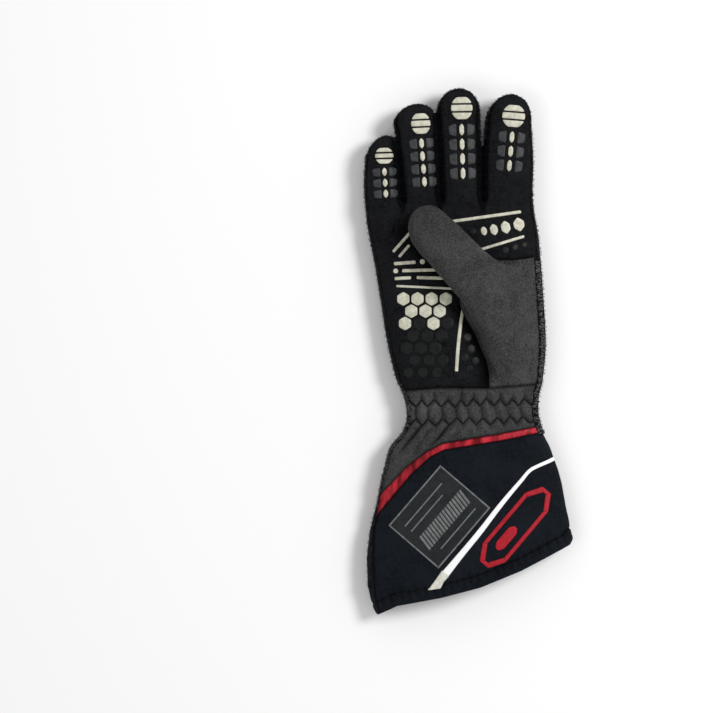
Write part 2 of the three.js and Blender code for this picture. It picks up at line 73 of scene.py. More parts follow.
# Sections of y, left, right, bottom, top
HAND_ROWS = [
    (-32.0, -40.0, 44.8, 0.5, 23.0), (-17.8, -45.6, 47.4, 0.2, 24.0), (1.4, -50.4, 49.3, 0.0, 24.9),
    (33.4, -55.7, 48.0, 0.0, 24.9), (60.3, -60.2, 46.1, 0.0, 24.4), (74.0, -63.0, 44.6, 0.2, 23.8),
    (84.0, -64.4, 43.6, 0.5, 22.6), (90.5, -65.0, 42.8, 1.0, 21.1), (93.5, -64.6, 42.2, 2.6, 19.2),
    (96.0, -63.0, 40.6, 6.0, 15.6),
]
WRIST_ROWS = [
    (-118.0, -62.9, 66.4, 0.0, 23.8), (-97.8, -58.3, 62.1, 0.2, 23.2), (-74.0, -53.4, 57.2, 0.5, 22.6),
    (-60.3, -49.3, 52.4, 0.7, 22.0), (-50.0, -41.0, 47.4, 0.9, 21.9), (-43.0, -38.9, 45.4, 1.2, 21.7),
    (-36.5, -39.0, 44.8, 1.0, 22.4), (-30.0, -40.4, 44.9, 1.2, 21.9), (-25.4, -42.2, 45.4, 0.6, 23.2),
    (-14.0, -46.8, 47.9, 0.3, 24.2),
]
CUFF_ROWS = [
    (-176.0, -52.5, 74.0, 0.0, 24.0), (-168.0, -58.0, 73.2, 0.0, 24.0), (-163.4, -60.6, 72.7, 0.0, 24.0),
    (-156.3, -62.6, 71.9, 0.0, 24.0), (-147.1, -64.1, 71.0, 0.0, 24.0), (-133.0, -64.4, 69.5, 0.0, 24.0),
    (-118.0, -62.9, 66.6, 0.0, 23.8), (-97.8, -58.3, 62.1, 0.0, 23.4), (-74.0, -53.4, 57.2, 0.0, 23.0),
    (-60.3, -49.3, 52.4, 0.2, 23.0), (-50.0, -41.0, 47.4, 0.4, 23.2), (-38.0, -38.8, 44.8, 0.5, 23.0),
]
# Fingers: sections of y, left, right from the palm on, then where the rounded tip ends
FINGERS = {
    "index": ([(68, 12, 36), (92, 9.8, 40.6), (130, 9.8, 40.2), (147, 10.9, 39.8)], (27.3, 164.6)),
    "middle": ([(68, -17.5, 8.4), (92, -17.4, 8.3), (130, -18.9, 8.2), (153, -20.2, 7.3)], (-5.9, 168.2)),
    "ring": ([(68, -41, -18.7), (92, -41.7, -18.4), (128, -45.5, -19.2), (146, -47.5, -20.1)], (-32, 158.4)),
    "little": (
        [(68, -57, -42.2), (92, -64.4, -42.6), (112, -65.2, -44.1), (126, -64.8, -45.7)], (-51.8, 138.5),
    ),
}
# The thumb in its own frame, whose +Y runs along the thumb: y, left, right, bottom, top
THUMB_ROWS = [
    (-38, -33.0, -21.0, 14.0, 23.5), (-27, -33.0, -4.0, 9.0, 28.5), (-14, -26.0, 13.0, 8.0, 34.0),
    (0, -19.8, 21.0, 9.0, 39.5), (12, -15.9, 20.6, 16.0, 43.0), (23, -14.0, 19.3, 26.4, 45.0),
    (40, -13.3, 17.7, 26.8, 46.4), (58, -12.7, 17.0, 26.8, 46.2), (68, -12.0, 16.4, 26.8, 45.4),
]
THUMB_TIP = (4.0, 84.2)
# How much further the thumb's root slopes out over the palm, and where along the thumb it comes free
ROOT_SPREAD = 8.0
ROOT_BLEND = (6.0, 30.0)

# Seam and edge lines: x, y, and a width where there is a third number
WRIST_SEAM = [(-80, -26.0), (-42.2, -24.8), (-17.9, -22.6), (14.1, -22.9), (44.2, -20.3), (80, -19.0)]
BAND_LINE = [
    (-80, -125.0, 8.0), (-58.2, -98.0, 7.6), (-38.4, -75.7, 5.8), (-25.6, -65.0, 4.2),
    (-16.0, -60.2, 4.3), (20.5, -54.2, 4.5), (46.1, -49.1, 4.5), (80, -43.0, 4.5),
]
MOUTH_LINE = [
    (-90, -183.6), (-57.6, -167.8), (-45.4, -161.8), (-17.9, -156.6), (7.7, -149.9), (33.3, -139.4),
    (65.4, -122.8), (67.4, -119.6), (90, -116.0),
]
SUEDE_EDGE = [
    (80, 61.4), (43.0, 61.0), (28.0, 58.6), (18.6, 59.0), (8.0, 49.5), (-4.4, 36.6), (-6.0, 33.0),
    (-5.2, 28.6), (-2.4, 22.4), (3.4, 12.0), (7.4, 2.6), (11.2, -6.0), (12.8, -14.0), (13.4, -60.0),
    (80, -60.0),
]
# The part of that edge on the mound's lower left, and the parts that are stitched
MOUND_EDGE = [point for point in SUEDE_EDGE if point[0] < 13 and -20 < point[1] < 40]
STITCHED_EDGES = [SUEDE_EDGE[1:4], SUEDE_EDGE[9:13] + [(13.3, -22.0)]]
THUMB_SIDE_WELT = [
    (39.6, 148.0, 0.9), (41.2, 130.0, 1.0), (41.6, 92.0, 1.3), (44.8, 74.0, 1.5), (46.1, 60.3, 1.9),
    (48.0, 33.4, 2.1), (49.3, 1.4, 2.1), (47.4, -17.8, 1.9), (44.9, -30.0, 1.9), (44.9, -39.5, 1.9),
    (46.9, -47.4, 1.8), (49.0, -52.0, 1.7),
]
LITTLE_SIDE_WELT = [
    (-65.2, 127.0, 1.0), (-66.3, 112.0, 1.1), (-65.4, 92.0, 1.1), (-63.0, 74.0, 1.2), (-60.2, 60.3, 1.3),
    (-55.7, 33.4, 1.3), (-50.4, 1.4, 1.4), (-45.6, -17.8, 1.5), (-40.2, -30.0, 1.7), (-38.8, -39.5, 1.7),
    (-41.2, -50.0, 1.7), (-49.3, -60.3, 1.5), (-53.4, -74.0, 1.2), (-58.5, -97.8, 0.8),
    (-62.9, -118.0, 1.9), (-64.0, -133.0, 2.3), (-63.9, -150.5, 2.0),
]
TAPE_LINE = [
    (54.9, -68.0, 2.5), (51.6, -69.5, 2.4), (45.6, -72.0, 2.3), (39.9, -74.8, 2.3), (33.2, -82.2, 2.5),
    (20.2, -97.5, 3.1), (7.6, -113.8, 3.6), (-5.6, -129.8, 4.1), (-14.7, -141.0, 5.0),
]


# Curves and fields


def seam_height(y):
    """Height of the side seam at a place along the glove."""
    t = np.clip((np.asarray(y, float) - CURL_START_Y) / (CURL_END_Y - CURL_START_Y), 0, 1)
    return SEAM_Z + FINGER_CURL * t * t


def through(xs, ys, at):
    """Smooth curve through the points xs, ys, with the slopes of their neighbours, read at the places at."""
    xs, ys, at = np.asarray(xs, float), np.asarray(ys, float), np.asarray(at, float)
    slopes = np.gradient(ys, xs)
    i = np.clip(np.searchsorted(xs, at, side="right") - 1, 0, len(xs) - 2)
    span = xs[i + 1] - xs[i]
    t = np.clip((at - xs[i]) / span, 0, 1)
    start = ys[i] * (2 * t**3 - 3 * t**2 + 1) + slopes[i] * span * (t**3 - 2 * t**2 + t)
    return start + ys[i + 1] * (3 * t**2 - 2 * t**3) + slopes[i + 1] * span * (t**3 - t**2)


def smooth_rows(rows, step):
    """Rows of numbers along y, made dense by smooth curves through them."""
    table = np.asarray(rows, float)
    count = int((table[-1, 0] - table[0, 0]) / step) + 2
    ys = np.linspace(table[0, 0], table[-1, 0], count)
    return np.stack([ys] + [through(table[:, 0], table[:, k], ys) for k in range(1, table.shape[1])], 1)


def travel_along(line):
    """How far along a line each of its points is."""
    return np.concatenate([[0], np.cumsum(np.linalg.norm(np.diff(line, axis=0), axis=1))])


def smooth_line(line, step):
    """A line of points made dense by a smooth curve through them, at even steps along it."""
    line = np.asarray(line, float)
    travel = travel_along(line[:, :2])
    at = np.linspace(0, travel[-1], max(int(travel[-1] / step), 2))
    return np.stack([through(travel, line[:, k], at) for k in range(line.shape[1])], 1)


def even_steps(line, step):
    """A line of points at even steps along it, straight between its points."""
    line = np.asarray(line, float)
    travel = travel_along(line[:, :3])
    at = np.linspace(0, travel[-1], max(int(round(travel[-1] / step)) + 1, 2))
    return np.stack([np.interp(at, travel, line[:, k]) for k in range(line.shape[1])], 1)


def units(vectors):
    """Vectors made one long."""
    return vectors / np.maximum(np.linalg.norm(vectors, axis=1, keepdims=True), 1e-9)


def left_of(along):
    """Directions to the left of directions in the plane."""
    return np.stack([-along[:, 1], along[:, 0]], 1)


def smoothstep(low, high, value):
    t = np.clip((value - low) / (high - low), 0, 1)
    return t * t * (3 - 2 * t)


def near(distance, reach):
    """1 on a line, and fading away beyond its reach."""
    return np.exp(-((distance / reach) ** 2))


def wave(at, length, shift=0.0):
    return np.sin(at * 2 * math.pi / length + shift)


def lumps(points, wavelength, seed):
    """Gentle uneven waves of about one wavelength, from -1 to 1."""
    draw = np.random.default_rng(seed)
    total = np.zeros(len(points))
    for _ in range(9):
        direction = draw.normal(size=3)
        direction *= 2 * math.pi / wavelength * draw.uniform(0.6, 1.4) / np.linalg.norm(direction)
        total += np.sin(points[:, :3] @ direction + draw.uniform(0, 2 * math.pi))
    return total / 4.5


def from_line(points, line):
    """Distance of each point from a line of x, y, and how far along the line the nearest place is."""
    flat = np.asarray(points, float)[:, :2]
    line = np.asarray(line, float)[:, :2]
    best = np.full(len(flat), 1e9)
    along = np.zeros(len(flat))
    start = 0.0
    for a, b in zip(line[:-1], line[1:]):
        step = b - a
        length = float(np.hypot(*step)) or 1e-9
        t = np.clip((flat - a) @ step / length**2, 0, 1)
        gap = np.hypot(*(flat - a - t[:, None] * step).T)
        closer = gap < best
        best[closer] = gap[closer]
        along[closer] = start + t[closer] * length
        start += length
    return best, along


def above_line(points, line):
    """Signed distance from a line that runs across the glove, positive towards the fingertips."""
    line = np.asarray(line, float)
    gap, _ = from_line(points, line)
    return np.where(points[:, 1] > np.interp(points[:, 0], line[:, 0], line[:, 1]), gap, -gap)


def inside_outline(points, outline):
    """Signed distance from a closed outline, positive inside."""
    closed = np.vstack([outline, outline[:1]]).astype(float)
    gap, _ = from_line(points, closed)
    x, y = points[:, 0], points[:, 1]
    odd = np.zeros(len(points), bool)
    for (ax, ay), (bx, by) in zip(closed[:-1, :2], closed[1:, :2]):
        if ay != by:
            odd ^= ((ay > y) != (by > y)) & (x < (bx - ax) * (y - ay) / (by - ay) + ax)
    return np.where(odd, gap, -gap)


# Meshes: pairs of a table, whose rows start with x, y, z, and triangles of point numbers


def triangles(*corners):
    """Triangles from the numbers of their first, second and third points, set by set."""
    return np.vstack([np.stack(np.broadcast_arrays(*three), -1).reshape(-1, 3) for three in corners])


def grid(rows, columns, closed=True):
    """Triangles between rows of points, which face outwards where rings run from +X over the top."""
    r, k = np.meshgrid(np.arange(rows - 1), np.arange(columns if closed else columns - 1), indexing="ij")
    a, b = r * columns + k, r * columns + (k + 1) % columns
    return triangles((a, a + columns, b), (b, a + columns, b + columns))


def face_normals(points, tris):
    corners = points[tris][:, :, :3]
    return np.cross(corners[:, 1] - corners[:, 0], corners[:, 2] - corners[:, 0])


def vertex_normals(points, tris):
    face = face_normals(points, tris)
    total = np.zeros((len(points), 3))
    for axis in range(3):
        for k in range(3):
            total[:, axis] += np.bincount(tris[:, k], face[:, axis], len(points))
    return units(total)


def tidied(points, tris):
    """A mesh without the points that no triangle uses."""
    used, index = np.unique(tris, return_inverse=True)
    return points[used], index.reshape(tris.shape)


def cut(mesh, column, sign=1, offset=0.0):
    """The part of a mesh where a column of its table, times sign and plus offset, is above zero.

    The cut is clean along zero, and its new points get every column.
    """
    points, tris = mesh
    values = sign * points[:, column] + offset
    values = np.where(np.abs(values) < 1e-7, 1e-7, values)
    flags = values[tris] > 0
    count = flags.sum(1)

    def turned(group, first):
        order = (first[:, None] + np.arange(3)) % 3
        return group[np.arange(len(group))[:, None], order]

    one = turned(tris[count == 1], flags[count == 1].argmax(1))
    two = turned(tris[count == 2], flags[count == 2].argmin(1))
    crossed = np.vstack([one[:, [0, 1]], one[:, [0, 2]], two[:, [0, 1]], two[:, [0, 2]]])
    pairs, index = np.unique(np.sort(crossed, 1), axis=0, return_inverse=True)
    index = index.reshape(-1) + len(points)
    a, b = pairs.T
    share = (values[a] / (values[a] - values[b]))[:, None]
    fresh = points[a] + (points[b] - points[a]) * share
    one_b, one_c, two_b, two_c = np.split(index, np.cumsum([len(one), len(one), len(two)]))
    sets = (one[:, 0], one_b, one_c), (two_b, two[:, 1], two[:, 2]), (two_b, two[:, 2], two_c)
    return tidied(np.vstack([points, fresh]), np.vstack([tris[count == 3], triangles(*sets)]))


def border_lines(mesh, column):
    """Open borders of a mesh along the zero of a column, as lines of points."""
    points, tris = mesh
    edges = np.vstack([tris[:, [0, 1]], tris[:, [1, 2]], tris[:, [2, 0]]])
    _, first, count = np.unique(np.sort(edges, 1), axis=0, return_index=True, return_counts=True)
    open_edges = edges[first[count == 1]]
    zero = np.abs(points[:, column]) < 1e-4
    following = {int(a): int(b) for a, b in open_edges[zero[open_edges].all(1)]}
    heads = set(following) - set(following.values())
    lines = []
    while following:
        at = heads.pop() if heads else next(iter(following))
        line = [at]
        while at in following:
            at = following.pop(at)
            line.append(at)
        lines.append(points[line])
    return sorted(lines, key=lambda part: tuple(part[0]))


def merged(meshes):
    """Several meshes as one, of x, y, z alone."""
    points, faces, start = [], [], 0
    for part_points, part_faces in meshes:
        points.append(part_points[:, :3])
        faces.append(part_faces + start)
        start += len(part_points)
    return np.vstack(points), np.vstack(faces)


def pushed(points, normals, push):
    """Points moved outwards, and kept off the floor."""
    moved = points + normals * push[:, None]
    moved[:, 2] = np.maximum(moved[:, 2], FLOOR_GAP)
    return moved


class Surface:
    """A mesh to lay prints and stitches on."""

    def __init__(self, points, tris):
        self.tree = BVHTree.FromPolygons(points[:, :3].tolist(), tris.tolist())

    def down(self, x, y):
        """Where a line from high above meets the surface, or the side nearest to it, and the normal there."""
        hit, normal, _, _ = self.tree.ray_cast(Vector((x, y, 120.0)), Vector((0, 0, -1)))
        if hit is None:
            return self.nearest((x, y, float(seam_height(y)) + 1.0))
        return np.array(hit), np.array(normal if normal.z > 0 else -normal)

    def nearest(self, point):
        hit, normal, _, _ = self.tree.find_nearest(Vector(point[:3]))
        return np.array(hit), np.array(normal)


def blender_mesh(name, points, faces):
    """A Blender mesh in metres from points in millimetres and faces of three or four points."""
    mesh = bpy.data.meshes.new(name)
    size = faces.shape[1]
    mesh.vertices.add(len(points))
    mesh.vertices.foreach_set("co", (points[:, :3] * MM).astype(np.float32).ravel())
    mesh.loops.add(faces.size)
    mesh.loops.foreach_set("vertex_index", faces.astype(np.int32).ravel())
    mesh.polygons.add(len(faces))
    mesh.polygons.foreach_set("loop_start", np.arange(0, faces.size, size, dtype=np.int32))
    mesh.polygons.foreach_set("loop_total", np.full(len(faces), size, dtype=np.int32))
    mesh.update(calc_edges=True)
    mesh.validate()
    return mesh


def linked(name, data):
    """A new object in the scene."""
    made = bpy.data.objects.new(name, data)
    bpy.context.scene.collection.objects.link(made)
    return made


def numbers_of(items, name, kind=np.float32):
    """Three numbers of each item of a Blender mesh."""
    flat = np.empty(3 * len(items), kind)
    items.foreach_get(name, flat)
    return flat.reshape(-1, 3)


def cloth_coordinates(points, normals):
    """Two numbers along the cloth in millimetres that don't stretch where it turns down at the sides."""
    return np.column_stack([points[:, :2] + normals[:, :2] * points[:, 2:], 0 * points[:, 2]])


def add_piece(name, points, faces, material, slot, replaced=(), painted_shade=None):
    """A visible piece that rides on the glove and stands for the nodes it replaces.

    The painted shade is 1 at points whose colour is darkened as painted shade, deep in a fold or seam or in a
    shadow cast by another part, and 0 on the open cloth.
    """
    mesh = blender_mesh(name, points, faces)
    mesh.polygons.foreach_set("use_smooth", np.full(len(mesh.polygons), True))
    cloth = cloth_coordinates(numbers_of(mesh.vertices, "co") / MM, numbers_of(mesh.vertices, "normal"))
    attribute = mesh.attributes.new("cloth", "FLOAT_VECTOR", "POINT")
    attribute.data.foreach_set("vector", cloth.astype(np.float32).ravel())
    if painted_shade is not None:
        attribute = mesh.attributes.new("painted_shade", "FLOAT", "POINT")
        attribute.data.foreach_set("value", np.clip(painted_shade, 0, 1).astype(np.float32))
    mesh.materials.append(material)
    made = linked(name, mesh)
    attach(made, "root")
    if replaced:
        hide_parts(*replaced)
    return made


def add_cloth(name, mesh, material, slot, *replaced):
    """A panel of cloth, whose table ends with its painted shade."""
    return add_piece(name, *mesh, material, slot, replaced, mesh[0][:, -1])


# Forms


def rings(rows, angles, power):
    """Rounded sections of rows of y, left, right, bottom, top, seam: an array of rings of points."""
    across = np.sign(np.cos(angles)) * np.abs(np.cos(angles)) ** (2 / power)
    up = np.sign(np.sin(angles)) * np.abs(np.sin(angles)) ** (2 / power)
    y, left, right, bottom, top, seam = (rows[:, k : k + 1] for k in range(6))
    x = (left + right) / 2 + (right - left) / 2 * across
    z = np.where(up > 0, seam + (top - seam) * up, seam + (seam - bottom) * up)
    return np.stack([x, y + 0 * x, z], 2)


TUBE_SIDES = 72
TUBE_ANGLES = np.arange(TUBE_SIDES) * 2 * math.pi / TUBE_SIDES


def closed_tube(rows, power):
    """A closed tube through rows."""
    sides, count = TUBE_SIDES, len(rows)
    shell = rings(rows, TUBE_ANGLES, power)
    middle = shell.mean(1)
    points = np.vstack([shell.reshape(-1, 3), middle[:1], middle[-1:]])
    r, k = np.meshgrid(np.arange(count - 1), np.arange(sides), indexing="ij")
    a, b = r * sides + k, r * sides + (k + 1) % sides
    k = np.arange(sides)
    after = (k + 1) % sides
    head, tail, last = count * sides, count * sides + 1, (count - 1) * sides
    caps = (head, after, k), (tail, last + k, last + after)
    return points, triangles((a, b, b + sides), (a, b + sides, a + sides), *caps)


def tip_rows(row, tip, risen, steps=14):
    """Rows that round a tube off towards a tip."""
    y, left, right, bottom, top, seam = row
    made = []
    for t in np.sin(np.linspace(0, math.radians(86), steps))[1:]:
        wide = math.sqrt(1 - t * t)
        tall = math.sqrt(1 - t**2.6)
        here = y + (tip[1] - y) * t
        rise = float(risen(here) - risen(y))
        middle = (left + right) / 2 + (tip[0] - (left + right) / 2) * t
        half = (right - left) / 2 * wide
        low = seam + rise - (seam - bottom) * tall
        high = seam + rise + (top - seam) * tall
        made.append((here, middle - half, middle + half, low, high, seam + rise))
    return np.array(made)


def with_seam(rows):
    return np.hstack([rows, seam_height(rows[:, :1])])


def palm_rows():
    rows = with_seam(smooth_rows(HAND_ROWS, 1.5))
    rows[:, 1] += SEAM_INSET
    rows[:, 2] -= SEAM_INSET
    return rows


def finger_rows(name):
    table, tip = FINGERS[name]
    rows = smooth_rows(table, 1.5)
    seam = seam_height(rows[:, :1])
    rows = np.hstack([rows, seam - FINGER_HALF_HEIGHT, seam + FINGER_HALF_HEIGHT, seam])
    return np.vstack([rows, tip_rows(rows[-1], tip, seam_height)])


def onto_thumb(points):
    """Points from the thumb's own frame to where the thumb lies."""
    c, s = math.cos(THUMB_TURN), math.sin(THUMB_TURN)
    return points @ np.array([[c, -s, 0], [s, c, 0], [0, 0, 1]]).T + np.array([*THUMB_ROOT, 0])


def off_thumb(points):
    """Points in the thumb's own frame."""
    flat = points[:, :2] - np.array(THUMB_ROOT)
    c, s = math.cos(THUMB_TURN), math.sin(THUMB_TURN)
    return np.stack([c * flat[:, 0] + s * flat[:, 1], -s * flat[:, 0] + c * flat[:, 1]], 1)


def palm_top(x, y):
    """Height of the palm's plain upper surface."""
    rows = palm_rows()
    left, right, top, seam = (np.interp(y, rows[:, 0], rows[:, k]) for k in (1, 2, 4, 5))
    share = np.clip(np.abs(2 * x - left - right) / (right - left), 0, 0.999)
    return seam + (top - seam) * (1 - share**PALM_POWER) ** (1 / PALM_POWER)


def thumb_tube():
    """The thumb, whose root spreads towards the side of the palm in a long gentle slope."""
    rows = smooth_rows(THUMB_ROWS, 1.5)
    rows = np.hstack([rows, (rows[:, 3:4] + rows[:, 4:5]) / 2])
    rows = np.vstack([rows, tip_rows(rows[-1], THUMB_TIP, lambda y: 0.0)])
    points, tris = closed_tube(rows, THUMB_POWER)
    shell = points[:-2].reshape(len(rows), TUBE_SIDES, 3)
    y, left, right, bottom, top = (rows[:, k : k + 1] for k in range(5))
    middle = (left + right) / 2
    reach = right - middle + ROOT_SPREAD
    quarter = np.clip(TUBE_ANGLES / (math.pi / 2), 0, 1)
    above = TUBE_ANGLES <= math.pi / 2
    x = middle + reach * np.where(above, 1 - quarter, np.cos(TUBE_ANGLES))
    ground = onto_thumb(np.stack([x, y + 0 * x, 0 * x], 2).reshape(-1, 3))
    ground = palm_top(ground[:, 0], ground[:, 1]).reshape(x.shape) - 1.0
    crest = ground[:, TUBE_SIDES // 4 : TUBE_SIDES // 4 + 1]
    slope = ground + (top - crest) * (0.5 - 0.5 * np.cos(math.pi * quarter))
    foot = ground[:, :1]
    z = np.where(above, slope, foot + (foot - bottom) * np.sin(TUBE_ANGLES))
    free = np.where(np.cos(TUBE_ANGLES) > -1e-9, smoothstep(*ROOT_BLEND, y), 1.0)
    shell[:, :, 0] = free * shell[:, :, 0] + (1 - free) * x
    shell[:, :, 2] = free * shell[:, :, 2] + (1 - free) * z
    return onto_thumb(points), tris


def skin(tubes, voxel):
    """One closed skin round several closed tubes, with the creases between them eased."""
    mesh = blender_mesh("skin", *merged(tubes))
    made = linked("skin", mesh)
    remesh = made.modifiers.new("remesh", "REMESH")
    remesh.mode = "VOXEL"
    remesh.voxel_size = voxel * MM
    ease = made.modifiers.new("ease", "SMOOTH")
    ease.factor = 0.5
    ease.iterations = 9
    result = made.evaluated_get(bpy.context.evaluated_depsgraph_get()).to_mesh()
    result.calc_loop_triangles()
    place = numbers_of(result.vertices, "co").astype(float) / MM
    tris = numbers_of(result.loop_triangles, "vertices", np.int32)
    bpy.data.objects.remove(made)
    bpy.data.meshes.remove(mesh)
    return place, tris


def sleeve(rows, power, step):
    """An open tube with even steps round it and along it: points, triangles and outward normals."""
    rows = with_seam(smooth_rows(rows, step))
    fine = np.linspace(0, 2 * math.pi, 4001)
    middle = len(rows) // 2
    travel = travel_along(rings(rows[middle : middle + 1], fine, power)[0])
    sides = int(travel[-1] / step)
    angles = np.interp(np.arange(sides) * travel[-1] / sides, travel, fine)
    points = rings(rows, angles, power).reshape(-1, 3)
    tris = grid(len(rows), sides)
    return points, tris, vertex_normals(points, tris)


# Materials


class Recipe:
    """A procedural material, built up from its shader."""

    def __init__(self, name, roughness):
        self.material = bpy.data.materials.new(name)
        self.material.use_nodes = True
        self.tree = self.material.node_tree
        self.tree.nodes.clear()
        self.shader = self.node("BsdfPrincipled")
        self.put(self.node("OutputMaterial").inputs["Surface"], self.shader.outputs["BSDF"])
        self.shader.inputs["Roughness"].default_value = roughness
        parts = self.node("SeparateXYZ")
        self.put(parts.inputs[0], self.attribute("cloth").outputs["Vector"])
        self.u, self.v = parts.outputs["X"], parts.outputs["Y"]
        self.place = self.node("TexCoord").outputs["Object"]

    def node(self, kind):
        return self.tree.nodes.new("ShaderNode" + kind)

    def attribute(self, name):
        made = self.node("Attribute")
        made.attribute_name = name
        return made

    def put(self, socket, value):
        if isinstance(value, bpy.types.NodeSocket):
            self.tree.links.new(value, socket)
        else:
            socket.default_value = value

    def fill(self, made, *values):
        """The first output of a node whose inputs get values in their order."""
        for socket, value in zip(made.inputs, values):
            self.put(socket, value)
        return made.outputs[0]

    def math(self, kind, *values):
        made = self.node("Math")
        made.operation = kind
        return self.fill(made, *values)

    def noise(self, per_mm, detail=2.0, rough=0.5, stretch=None):
        """Noise in the glove's own space, with a number of grains a millimetre."""
        made = self.node("TexNoise")
        vector = self.place
        if stretch:
            mapping = self.node("Mapping")
            mapping.inputs["Rotation"].default_value = (0, 0, stretch[2])
            mapping.inputs["Scale"].default_value = (stretch[0], stretch[1], 1)
            vector = self.fill(mapping, vector)
        self.put(made.inputs["Vector"], vector)
        made.inputs["Scale"].default_value = per_mm / MM
        made.inputs["Detail"].default_value = detail
        made.inputs["Roughness"].default_value = rough
        return made.outputs["Fac"]

    def between(self, value, low, high, start=0.0, end=1.0):
        """The value's range from low to high, mapped to start to end."""
        return self.fill(self.node("MapRange"), value, low, high, start, end)

    def colours(self, factor, first, second):
        made = self.node("Mix")
        made.data_type = "RGBA"
        self.put(made.inputs[0], factor)
        self.put(made.inputs[6], (*first, 1) if isinstance(first, tuple) else first)
        self.put(made.inputs[7], (*second, 1))
        return made.outputs[2]

    def with_painted_shade(self, colour, dark):
        """The colour with painted shade: much darker where the painted_shade attribute is high, deep in a
        fold or seam or in a cast shadow.
        """
        depth = self.attribute("painted_shade").outputs["Fac"]
        return self.colours(depth, colour, tuple(0.22 * value for value in dark))

    def mottled(self, tone, patch_grain, patch_reach, lint_grain):
        """The tone with pale and dark patches and lint."""
        patches = self.between(self.noise(patch_grain, 3.0, 0.6), 0.35, 0.65, -patch_reach, patch_reach)
        lint = self.between(self.noise(lint_grain, 3.0, 0.65), 0.35, 0.65, -0.3, 0.3)
        return self.math("ADD", self.math("ADD", patches, lint), tone)

    def relief(self, height, depth_mm, strength):
        made = self.node("Bump")
        made.inputs["Distance"].default_value = depth_mm * MM
        made.inputs["Strength"].default_value = strength
        self.put(made.inputs["Height"], height)
        self.put(self.shader.inputs["Normal"], made.outputs["Normal"])

    def done(self, colour, specular, **numbers):
        self.put(self.shader.inputs["Base Color"], colour)
        self.shader.inputs["Specular IOR Level"].default_value = specular
        for name, value in numbers.items():
            self.shader.inputs[name.replace("_", " ")].default_value = value
        return self.material

    def cloth_done(self, tone, dark, light, specular, sheen):
        colour = self.with_painted_shade(self.colours(tone, dark, light), dark)
        return self.done(colour, specular, Sheen_Weight=sheen, Sheen_Roughness=0.5)


def knit(name, dark, light, gauge, sheen):
    """Knitted cloth: columns of V-shaped stitches, brushed and a little uneven."""
    recipe = Recipe(name, 0.9)
    node = recipe.math
    column = node("SUBTRACT", node("FRACT", node("DIVIDE", recipe.u, gauge)), 0.5)
    arm = node("MULTIPLY", node("ABSOLUTE", column), 1.1)
    course = node("FRACT", node("ADD", node("DIVIDE", recipe.v, gauge * 0.8), arm))
    loop = node("SINE", node("MULTIPLY", course, math.pi))
    ridge = node("COSINE", node("MULTIPLY", column, math.pi))
    yarn = node("MULTIPLY", ridge, node("MULTIPLY_ADD", loop, 0.55, 0.45))
    height = node("MULTIPLY_ADD", recipe.noise(1.6, 4.0, 0.65), 0.55, yarn)
    recipe.relief(height, 0.16, 0.8)
    tone = recipe.mottled(recipe.between(height, 0.2, 1.2), 0.09, 0.2, 0.6)
    return recipe.cloth_done(tone, dark, light, 0.05, sheen)


def suede(name, dark, light):
    """Suede with a short brushed nap that lies in patches."""
    recipe = Recipe(name, 0.95)
    node = recipe.math
    nap = recipe.noise(0.95, 4.0, 0.78)
    tufts = recipe.noise(0.25, 3.0, 0.6, (1.0, 0.5, 0.4))
    patches = recipe.noise(0.05, 3.0, 0.55)
    tone = node("MULTIPLY_ADD", tufts, 0.15, node("MULTIPLY", nap, 0.7))
    tone = recipe.between(node("MULTIPLY_ADD", patches, 0.25, tone), 0.45, 0.65)
    recipe.relief(node("MULTIPLY_ADD", tufts, 0.2, nap), 0.3, 0.6)
    return recipe.cloth_done(tone, dark, light, 0.05, 0.06)


def twill(name, dark, light, pitch):
    """Fine woven cloth with slanting ribs."""
    recipe = Recipe(name, 0.8)
    node = recipe.math
    slants = [node("DIVIDE", node(kind, recipe.u, recipe.v), pitch) for kind in ("ADD", "SUBTRACT")]
    rib, notch = (node("ABSOLUTE", node("SINE", node("MULTIPLY", slant, math.pi))) for slant in slants)
    weave = node("MULTIPLY_ADD", notch, 0.35, rib)
    height = node("MULTIPLY_ADD", recipe.noise(1.3, 3.0, 0.6), 0.5, weave)
    recipe.relief(height, 0.09, 0.7)
    tone = recipe.mottled(recipe.between(height, 0.3, 1.5), 0.05, 0.3, 0.55)
    return recipe.cloth_done(tone, dark, light, 0.06, 0.02)


def thread(name, dark, light):
    """Twisted sewing thread, dark and light by turns."""
    recipe = Recipe(name, 0.75)
    strand = recipe.noise(1.1, 2.0, 0.6)
    fine = recipe.noise(4.0, 2.0, 0.5, (1.0, 0.4, 0.7))
    tone = recipe.between(recipe.math("MULTIPLY_ADD", fine, 0.5, strand), 0.6, 0.92)
    recipe.relief(fine, 0.1, 0.6)
    return recipe.done(recipe.colours(tone, dark, light), 0.12, Sheen_Weight=0.03)


def printed(name, dark, light, roughness, coat, gloss=0.4):
    """A raised silicone or film print, faintly mottled and worn dull in places."""
    recipe = Recipe(name, roughness)
    cast = recipe.noise(0.35, 3.0, 0.6)
    grain = recipe.noise(2.6, 2.0, 0.5)
    tone = recipe.between(recipe.math("MULTIPLY_ADD", grain, 0.3, cast), 0.4, 0.85)
    recipe.relief(grain, 0.05, 0.35)
    worn = recipe.between(cast, 0.3, 0.7, roughness - 0.06, roughness + 0.12)
    recipe.put(recipe.shader.inputs["Roughness"], worn)
    return recipe.done(recipe.colours(tone, dark, light), gloss, Coat_Weight=coat, Coat_Roughness=0.25)


